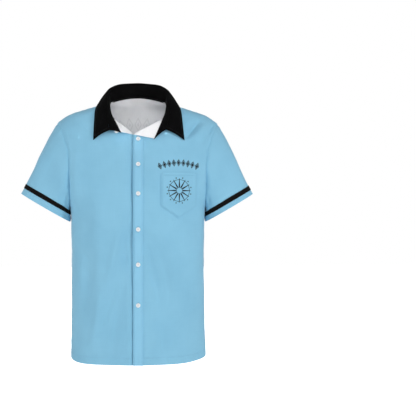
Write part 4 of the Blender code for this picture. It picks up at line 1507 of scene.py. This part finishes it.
@dataclass
class Sleeves(SewnPart):
    """Both sleeves with the stripe above each hem."""

    cuff_outer: Triple = (0.335, 0.0, -0.2625)
    cuff_inner: Triple = (0.1957, 0.0, -0.344)
    cuff_depth: float = 0.0535
    cuff_power: float = 2.2
    leave: SectionTable = SectionTable(
        ((0.0, 0.54, 0.0, -0.84), (0.5, 0.82, 0.1, -0.56), (1.0, 0.64, 0.0, -0.77))
    )
    stripe_right: StripePlace = StripePlace((0.018, 0.0205), (0.0307, 0.0335))
    stripe_left: StripePlace = StripePlace((0.0136, 0.0151), (0.0271, 0.0291))
    # Rows of points: up to the stripe, on it and above it.
    hem_rows: int = 6
    stripe_rows: int = 4
    rings: int = 44
    path_points: int = 97
    armhole_gap: Triple = (0.0003, 0, -0.0001)
    tuck_length: float = 0.003
    tuck_depth: float = 0.0016
    seam_relief: SeamRelief = SeamRelief(
        Relief(0.0008, 0.0, 0.003), Relief(0.0003, 0.009, 0.006), Relief(0.0004, 0.0, 0.014), 0.021, 37.0
    )
    wave: float = 0.0008
    wave_length: float = 0.07
    seam_fade: Pair = (0.0, 0.02)
    hem_fade: Pair = (-0.01, 0.02)
    fold_lean: float = 0.1
    # Turn round from the top by the front, distance above the hem, half turn, half length, height.
    folds: tuple = (
        (0.3, 0.085, 0.03, 0.06, 0.003),
        (0.38, 0.07, 0.022, 0.05, -0.0028),
        (0.46, 0.06, 0.025, 0.04, 0.0024),
        (0.2, 0.12, 0.035, 0.05, -0.0022),
        (0.1, 0.095, 0.04, 0.055, 0.0018),
        (0.62, 0.08, 0.03, 0.055, -0.0028),
        (0.72, 0.09, 0.032, 0.06, 0.003),
        (0.84, 0.105, 0.04, 0.055, -0.002),
    )

    def stripe(self, side: Side) -> StripePlace:
        """Where the stripe of a sleeve lies."""
        return self.stripe_left if side is Side.LEFT else self.stripe_right

    def armhole_line(self, side: Side) -> Array:
        """Angles and heights of the armhole's edge, from the shoulder round by the front."""
        front = self.body.armholes[(False, side.value)][::-1]
        back = self.body.armholes[(True, side.value)]
        line = np.concatenate((front[:-1], back[:-1], front[:1]))[:, :2]
        return line * np.array((side.value, 1))

    def ends(self, side: Side) -> tuple[Array, Array, Array, Array]:
        """Armhole points, cuff points, leaving directions and turns of the lines down a sleeve."""
        sign = side.value
        around = self.armhole_line(side)
        start = self.body.figure.point(around[:, 0], around[:, 1])
        start = start + np.array(self.armhole_gap) * np.array((sign, 1, 1))
        half = len(around) // 2
        share = np.concatenate((np.arange(half) / half, 1 - np.arange(half) / half, [0.0]))
        face = np.concatenate((np.full(half, -1.0), np.full(half, 1.0), [-1.0]))
        down, out = np.cos(math.pi * share), np.sin(math.pi * share)
        power = self.cuff_power
        reach = (np.abs(down) ** power + np.abs(out) ** power) ** (-1 / power)
        outer, inner = np.array(self.cuff_outer), np.array(self.cuff_inner)
        end = (outer + inner) / 2 + (outer - inner) / 2 * (down * reach)[:, None]
        end[:, 1] += face * self.cuff_depth * out * reach
        end[:, 0] *= sign
        pull = self.leave.read(share) * np.stack((np.full_like(face, sign), face, np.ones_like(face)), -1)
        turn = np.concatenate((share[:half] / 2, 1 - share[half:-1] / 2, [1.0]))
        return start, end, unit(pull), turn

    def grid(self, side: Side) -> Grid:
        """Outer face of a sleeve, from the hem up."""
        start, end, pull, turn = self.ends(side)
        cuff = np.array(self.cuff_outer) - np.array(self.cuff_inner)
        axis = unit(np.array((cuff[2] * side.value, 0, -cuff[0])))
        share = np.linspace(0, 1, self.path_points)[:, None]
        columns = []
        place = self.stripe(side)
        across = 0.5 - 0.5 * np.cos(2 * math.pi * turn)
        for first, last, leave, part in zip(start, end, pull, across):
            length = np.linalg.norm(last - first)
            path = hermite(first, last, leave * length, axis * length, share)[::-1]
            run = travel(path, 0)
            low, high = place.edges(part)
            below = np.linspace(0, low, self.hem_rows + 1)
            stripe = np.linspace(low, high, self.stripe_rows + 1)[1:]
            marks = np.concatenate((below, stripe, mix(high, run[-1], np.linspace(0, 1, self.rings)[1:])))
            columns.append(np.stack([np.interp(marks, run, path[:, k]) for k in range(3)], -1))
        points = np.stack(columns, 1)
        height = travel(points, 0)
        around = travel(points[:1], 1) + 0 * height
        flat = np.stack((around, height), -1)
        grid = Grid(points, flat, height, flip=side is Side.LEFT)
        lift = np.zeros(height.shape)
        for at, above_hem, half_turn, half_length, rise in self.folds:
            aside = turn[None, :] - at - self.fold_lean * (height - above_hem)
            lift += rise * bell(aside, 0.0, half_turn) * bell(height, above_hem, half_length)
        lift += self.wave * ripple(flat, SLEEVE_SEED + side.value, self.wave_length)
        top = travel(points[::-1], 0)[::-1]
        lift *= ease(top, *self.seam_fade) * ease(height, *self.hem_fade)
        self.seam_relief.press(lift, top, around)
        swell = grid.lifted(lift)
        inward = self.body.figure.normal(*np.moveaxis(self.armhole_line(side), -1, 0))
        tuck = swell.points[-1] - pull * self.tuck_length - inward * self.tuck_depth
        swell.points = np.concatenate((swell.points, tuck[None]))
        swell.flat = np.concatenate((swell.flat, swell.flat[-1:] + np.array((0, self.tuck_length))))
        swell.hem = np.concatenate((swell.hem, swell.hem[-1:] + self.tuck_length))
        swell.points[:, -1] = swell.points[:, 0]
        return swell

    def build(self) -> list[Object]:
        """Builds both sleeves and their stripes."""
        items = []
        blue, white, black = (self.finishes[use] for use in ("blue", "white", "stripe"))
        for side in Side:
            word, place = side.name.lower(), self.stripe(side)
            grid = self.grid(side)
            sleeve = sew_sheet(f"sleeve_cloth_{word}", [grid], CLOTH, blue, white, place.turn())
            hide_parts(f"sleeve_{word}")
            rows = slice(self.hem_rows, self.hem_rows + self.stripe_rows + 1)
            band = Grid(grid.points[rows], grid.flat[rows], None, grid.flip).lifted(SEAM_GAP + TAPE_CLOTH)
            band.points[:, -1] = band.points[:, 0]
            stripe = sew_sheet(f"sleeve_stripe_{word}", [band], TAPE_CLOTH, black, black)
            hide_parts(f"sleeve_band_{word}")
            place.width()
            items += [sleeve, stripe]
            raised = band.lifted(STITCH_RISE)
            self.stitches += [raised.line(row) for row in (0.5, self.stripe_rows - 0.5)]
        return items


# ======== buttons
@dataclass
class Buttons:
    """Seven four-hole buttons, their thread and their buttonholes."""

    body: Body
    collar: Collar
    finishes: Materials
    heights: tuple[float, ...] = (-0.1108, -0.1827, -0.2645, -0.3636, -0.4612, -0.5734)
    # Radius and height of the outline that is turned round the button's axis.
    profile: tuple = (
        (0.0, 0.0015), (0.0022, 0.0015), (0.0036, 0.00162), (0.0043, 0.002), (0.0049, 0.00232),
        (0.0055, 0.0023), (0.0059, 0.0019), (0.006, 0.0012), (0.0057, 0.00045), (0.005, 0.0), (0.0, 0.0),
    )
    turn_steps: int = 40
    sharp_angle: float = 50
    hole_at: float = 0.00135
    hole: float = 0.00074
    hole_sides: int = 14
    drill_middle: float = 0.001
    drill_length: float = 0.006
    # Room under a button, on the band and on the stand.
    band_room: float = 0.0006
    stand_room: float = 0.001
    seat_rise: float = 0.33
    seat_inset: float = 0.0035
    # Lowest and highest point of the thread, over the button's back.
    thread_low: float = 0.0004
    thread_high: float = 0.0019
    thread_radius: float = 0.00032
    # Half width, half length and height of a buttonhole's oval, and the power that blunts its ends.
    buttonhole: Triple = (0.0012, 0.0085, -0.0003)
    buttonhole_power: float = 0.4
    buttonhole_steps: int = 32
    threads: list = field(default_factory=list)
    buttonholes: list = field(default_factory=list)

    def blank(self) -> Mesh:
        """Mesh of one button, its back at the origin and its face towards +Z."""
        mesh = bpy.data.meshes.new("button_blank")
        edges = [(k, k + 1) for k in range(len(self.profile) - 1)]
        mesh.from_pydata([(radius, 0, height) for radius, height in self.profile], edges, [])
        item = new_object("button_blank", mesh)
        turn = item.modifiers.new("turn", "SCREW")
        turn.steps = turn.render_steps = self.turn_steps
        turn.use_merge_vertices = True
        turn.merge_threshold = WELD
        plain_mesh(item, "button_blank")
        bm = bmesh.new()
        size = {"radius1": self.hole, "radius2": self.hole, "depth": self.drill_length}
        for x in (-self.hole_at, self.hole_at):
            for y in (-self.hole_at, self.hole_at):
                place = Matrix.Translation((x, y, self.drill_middle))
                bmesh.ops.create_cone(bm, cap_ends=True, segments=self.hole_sides, matrix=place, **size)
        drill_mesh = bpy.data.meshes.new("button_drill")
        bm.to_mesh(drill_mesh)
        bm.free()
        drill = new_object("button_drill", drill_mesh)
        cut = item.modifiers.new("holes", "BOOLEAN")
        cut.operation = "DIFFERENCE"
        cut.object = drill
        plain_mesh(item, "button_blank")
        mesh = item.data
        bpy.data.objects.remove(item)
        bpy.data.objects.remove(drill)
        return mesh

    def seats(self) -> list[tuple[str, Vector, Vector]]:
        """Node, place and facing direction of each button."""
        figure = self.body.figure
        band = self.body.grids["band"]
        middle = band.points[:, self.body.steps]
        seats = []
        for number, height in enumerate(self.heights, 1):
            normal = Vector(figure.normal(0.0, height))
            y = float(np.interp(height, middle[:, 2], middle[:, 1]))
            seats.append((f"button_{number}", Vector((0, y, height)) + normal * self.band_room, normal))
        end, inner = ([Vector(p) for p in line] for line in self.collar.stand_lines[:2])
        start = end[0].lerp(end[-1], self.seat_rise)
        along = (inner[0].lerp(inner[-1], self.seat_rise) - start).normalized()
        outward = (end[-1] - end[0]).cross(along).normalized()
        seat = start + along * self.seat_inset + outward * (COLLAR_CLOTH + self.stand_room)
        seats.append(("button_stand", seat, outward))
        return seats

    def thread_lines(self, seat: Matrix) -> list[Array]:
        """Lines of the two lengths of thread that cross a button from hole to hole."""
        at, low, high = self.hole_at, self.thread_low, self.thread_high
        path = ((-at, low), (-at, high), (at, high), (at, low))
        return [np.array([seat @ Vector((x, y, z)) for x, z in path]) for y in (-at, at)]

    def buttonhole_line(self, seat: Matrix) -> Array:
        """Long oval in the cloth under a button."""
        half_width, half_length, height = self.buttonhole
        oval = []
        for k in range(self.buttonhole_steps + 1):
            turn = 2 * math.pi * k / self.buttonhole_steps
            rise = math.copysign(abs(math.cos(turn)) ** self.buttonhole_power, math.cos(turn))
            oval.append(seat @ Vector((half_width * math.sin(turn), half_length * rise, height)))
        return np.array(oval)

    def build(self) -> list[Object]:
        """Builds the buttons, and the lines of their thread and buttonholes."""
        blank = self.blank()
        items = []
        for node, place, facing in self.seats():
            mesh = blank.copy()
            mesh.name = f"{node}_resin"
            seat = Matrix.Translation(place) @ facing.to_track_quat("Z", "Y").to_matrix().to_4x4()
            mesh.transform(seat)
            mesh.materials.append(self.finishes["button"])
            mesh.shade_smooth()
            mesh.set_sharp_from_angle(angle=math.radians(self.sharp_angle))
            item = new_object(f"{node}_resin", mesh)
            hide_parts(node)
            items.append(item)
            self.threads += self.thread_lines(seat)
            if node != "button_stand":
                self.buttonholes.append(self.buttonhole_line(seat))
        return items


# ======== stitches
class Lie(Enum):
    """How a stitch lies to its line."""

    ALONG = "Z"
    ACROSS = "X"


@dataclass
class Stitching:
    """Stitches set along lines of points by one node tree."""

    name: str
    lines: list
    material: Material
    pitch: float = 0.003
    length: float = 0.0023
    # Thread is about 0.3 mm thick, drawn at 0.5 mm so that it shows.
    thickness: float = 0.0005
    lie: Lie = Lie.ALONG
    sides: int = 6
    # No two stitches are quite the same: least and greatest scale across and along.
    least: Triple = (0.9, 0.9, 0.92)
    greatest: Triple = (1.1, 1.1, 1.06)
    seed: int = 3

    def tree(self) -> NodeTree:
        """Node tree that sets one small cylinder at each stitch."""
        tree = bpy.data.node_groups.new(f"{self.name}_tree", "GeometryNodeTree")
        sizes = {"Pitch": "Float", "Length": "Float", "Thickness": "Float"}
        for name, kind in {"Geometry": "Geometry", **sizes, "Thread": "Material"}.items():
            tree.interface.new_socket(name, in_out="INPUT", socket_type=f"NodeSocket{kind}")
        tree.interface.new_socket("Geometry", in_out="OUTPUT", socket_type="NodeSocketGeometry")
        given = add_node(tree, "NodeGroupInput").outputs

        def result(kind: str, links: dict | None = None, settings: dict | None = None) -> NodeSocket:
            """First output of a new node."""
            return add_node(tree, kind, links, settings).outputs[0]

        curve = result("GeometryNodeMeshToCurve", {0: given["Geometry"]})
        even = {"Curve": curve, "Length": given["Pitch"]}
        points = result("GeometryNodeResampleCurve", even, {"mode": "LENGTH"})
        tangent = result("GeometryNodeInputTangent")
        turn = result("FunctionNodeAlignRotationToVector", {"Vector": tangent}, {"axis": self.lie.value})
        radius = result("ShaderNodeMath", {0: given["Thickness"], 1: 0.5}, {"operation": "MULTIPLY"})
        shape = {"Vertices": self.sides, "Radius": radius, "Depth": given["Length"]}
        stitch = result("GeometryNodeMeshCylinder", shape, {"fill_type": "TRIANGLE_FAN"})
        limits = {0: self.least, 1: self.greatest, "Seed": self.seed}
        scale = result("FunctionNodeRandomValue", limits, {"data_type": "FLOAT_VECTOR"})
        each = {"Points": points, "Instance": stitch, "Rotation": turn, "Scale": scale}
        placed = result("GeometryNodeInstanceOnPoints", each)
        real = result("GeometryNodeRealizeInstances", {0: placed})
        dressed = result("GeometryNodeSetMaterial", {"Geometry": real, "Material": given["Thread"]})
        add_node(tree, "NodeGroupOutput", {0: dressed})
        return tree

    def build(self) -> Object:
        """Builds all the stitches of this thread as one piece."""
        verts, edges = [], []
        for line in self.lines:
            base = len(verts)
            verts += np.asarray(line).tolist()
            edges += [(base + k, base + k + 1) for k in range(len(line) - 1)]
        mesh = bpy.data.meshes.new(self.name)
        mesh.from_pydata(verts, edges, [])
        item = new_object(self.name, mesh)
        modifier = item.modifiers.new("stitches", "NODES")
        modifier.node_group = self.tree()
        values = {
            "Pitch": self.pitch, "Length": self.length, "Thickness": self.thickness, "Thread": self.material,
        }
        for socket in modifier.node_group.interface.items_tree:
            if socket.in_out == "INPUT" and socket.name in values:
                modifier[socket.identifier] = values[socket.name]
        plain_mesh(item, self.name)
        item.data.shade_smooth()
        log.info("%s: %d faces", self.name, len(item.data.polygons))
        return item


def thread_tubes(name: str, lines: list, radius: float, material: Material) -> Object:
    """Short lengths of thread as closed round tubes.

    Args:
        name: Object's name.
        lines: Points of each length of thread.
        radius: Radius of the thread.
        material: Its finish.

    Returns:
        The object.
    """
    curve = bpy.data.curves.new(name, "CURVE")
    curve.dimensions = "3D"
    curve.bevel_depth = radius
    curve.bevel_resolution = 2
    curve.use_fill_caps = True
    for line in lines:
        spline = curve.splines.new("POLY")
        spline.points.add(len(line) - 1)
        for point, place in zip(spline.points, line):
            point.co = (*place, 1.0)
    path = new_object(f"{name}_path", curve)
    bpy.context.view_layer.update()
    mesh = bpy.data.meshes.new_from_object(path.evaluated_get(bpy.context.evaluated_depsgraph_get()))
    mesh.name = name
    bpy.data.objects.remove(path)
    join_points(mesh, face_outwards=True)
    mesh.materials.append(material)
    mesh.shade_smooth()
    return new_object(name, mesh)


# ======== studio
@dataclass(frozen=True)
class Lamp:
    """Square lamp aimed at a point."""

    name: str
    place: Triple
    size: float
    power: float
    aim: Triple = (0.0, 0.0, -0.35)
    spread: float = 180.0

    def hang(self) -> None:
        """Adds the lamp to the scene."""
        lamp = bpy.data.lights.new(self.name, "AREA")
        lamp.size = self.size
        lamp.energy = self.power
        lamp.spread = math.radians(self.spread)
        item = new_object(self.name, lamp)
        item.location = self.place
        item.rotation_euler = (Vector(self.aim) - Vector(self.place)).to_track_quat("-Z", "Y").to_euler()


@dataclass(frozen=True)
class Studio:
    """Pale seamless room, soft lights and the camera."""

    # Wide lamps wrap the cloth softly; the narrow one reaches down between the collar's points.
    lamps: tuple[Lamp, ...] = (
        Lamp("key", (2.5, -2.3, 0.0), 0.5, 33.0),
        Lamp("fill", (-3.0, -1.5, 0.0), 1.6, 25.0),
        Lamp("front", (0.0, -3.2, 0.1), 1.2, 16.0),
        Lamp("back", (-0.9, 3.0, 0.1), 1.4, 26.0),
        Lamp("neck", (0.0, -1.5, 0.45), 0.25, 0.06, (0.0, 0.08, -0.02), 9.0),
    )
    # Strength of the surroundings as a light and as what the camera sees.
    room_light: float = 0.45
    backdrop: float = 1.0
    distance: float = 2.6
    height: float = -0.3045
    # Degrees that the camera turns to the wearer's left, and lengths of lens and sensor in millimetres.
    yaw: float = 4.475
    focal: float = 77.2
    sensor: float = 36.0
    floor_height: float = -1.0
    floor_half_size: float = 8.0

    def build(self) -> None:
        """Builds the room, the lights and the camera."""
        scene = bpy.context.scene
        scene.view_settings.view_transform = "Standard"
        self.light_room(scene)
        self.lay_floor()
        for lamp in self.lamps:
            lamp.hang()
        camera = bpy.data.cameras.new("camera")
        camera.lens = self.focal
        camera.sensor_width = self.sensor
        item = new_object("camera", camera)
        item.location = (0.0, -self.distance, self.height)
        item.rotation_euler = (math.radians(90), 0, -math.radians(self.yaw))
        scene.camera = item

    def light_room(self, scene: Scene) -> None:
        """White surroundings, dimmer as a light than as a backdrop."""
        world = bpy.data.worlds.new("room")
        world.use_nodes = True
        scene.world = world
        tree = world.node_tree
        tree.nodes.clear()
        seen = add_node(tree, "ShaderNodeLightPath").outputs["Is Camera Ray"]
        sides = {0: seen}
        for slot, strength in ((1, self.room_light), (2, self.backdrop)):
            white = {"Color": (1, 1, 1, 1), "Strength": strength}
            sides[slot] = add_node(tree, "ShaderNodeBackground", white).outputs[0]
        both = add_node(tree, "ShaderNodeMixShader", sides)
        add_node(tree, "ShaderNodeOutputWorld", {0: both.outputs[0]})

    def lay_floor(self) -> None:
        """Pale painted floor that shines a little for the camera, so that it runs into the backdrop."""
        bm = bmesh.new()
        place = Matrix.Translation((0, 0, self.floor_height))
        bmesh.ops.create_grid(bm, x_segments=1, y_segments=1, size=self.floor_half_size, matrix=place)
        mesh = bpy.data.meshes.new("floor")
        bm.to_mesh(mesh)
        bm.free()
        material, tree, shader = new_material("pale_floor_paint")
        seen = add_node(tree, "ShaderNodeLightPath").outputs["Is Camera Ray"]
        paint = {
            "Base Color": linear("F4F4F4"), "Roughness": 0.9,
            "Emission Color": (1, 1, 1, 1), "Emission Strength": seen,
        }
        connect(tree, shader, paint)
        mesh.materials.append(material)
        new_object("floor", mesh)


def main() -> None:
    """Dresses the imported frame, piece by piece."""
    logging.basicConfig(level=logging.INFO, format="%(name)s: %(message)s")
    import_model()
    figure = Figure()
    finishes = Wardrobe(figure).build()
    body = Body(figure, finishes)
    band, pocket, collar, sleeves = (part(body, finishes) for part in (Band, Pocket, Collar, Sleeves))
    buttons = Buttons(body, collar, finishes)
    pieces = []
    for part in (body, band, pocket, collar, sleeves, buttons):
        pieces += part.build()
    body_thread, black_thread = finishes["blue_thread"], finishes["black_thread"]
    # Buttonholes are worked with short stitches set close together across the edge.
    close = {"pitch": 0.0007, "length": 0.0016, "lie": Lie.ACROSS}
    stitching = (
        Stitching("body_stitches", body.stitches + band.stitches + pocket.stitches, body_thread),
        Stitching("collar_stitches", collar.stitches + sleeves.stitches, black_thread),
        Stitching("buttonhole_stitches", buttons.buttonholes, body_thread, **close),
    )
    pieces += [stitches.build() for stitches in stitching]
    white_thread = finishes["white_thread"]
    pieces.append(thread_tubes("button_threads", buttons.threads, buttons.thread_radius, white_thread))
    for piece in pieces:
        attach(piece, "root")
        log.info("dressed %s", piece.name)
    Studio().build()


if __name__ == "__main__":
    main()
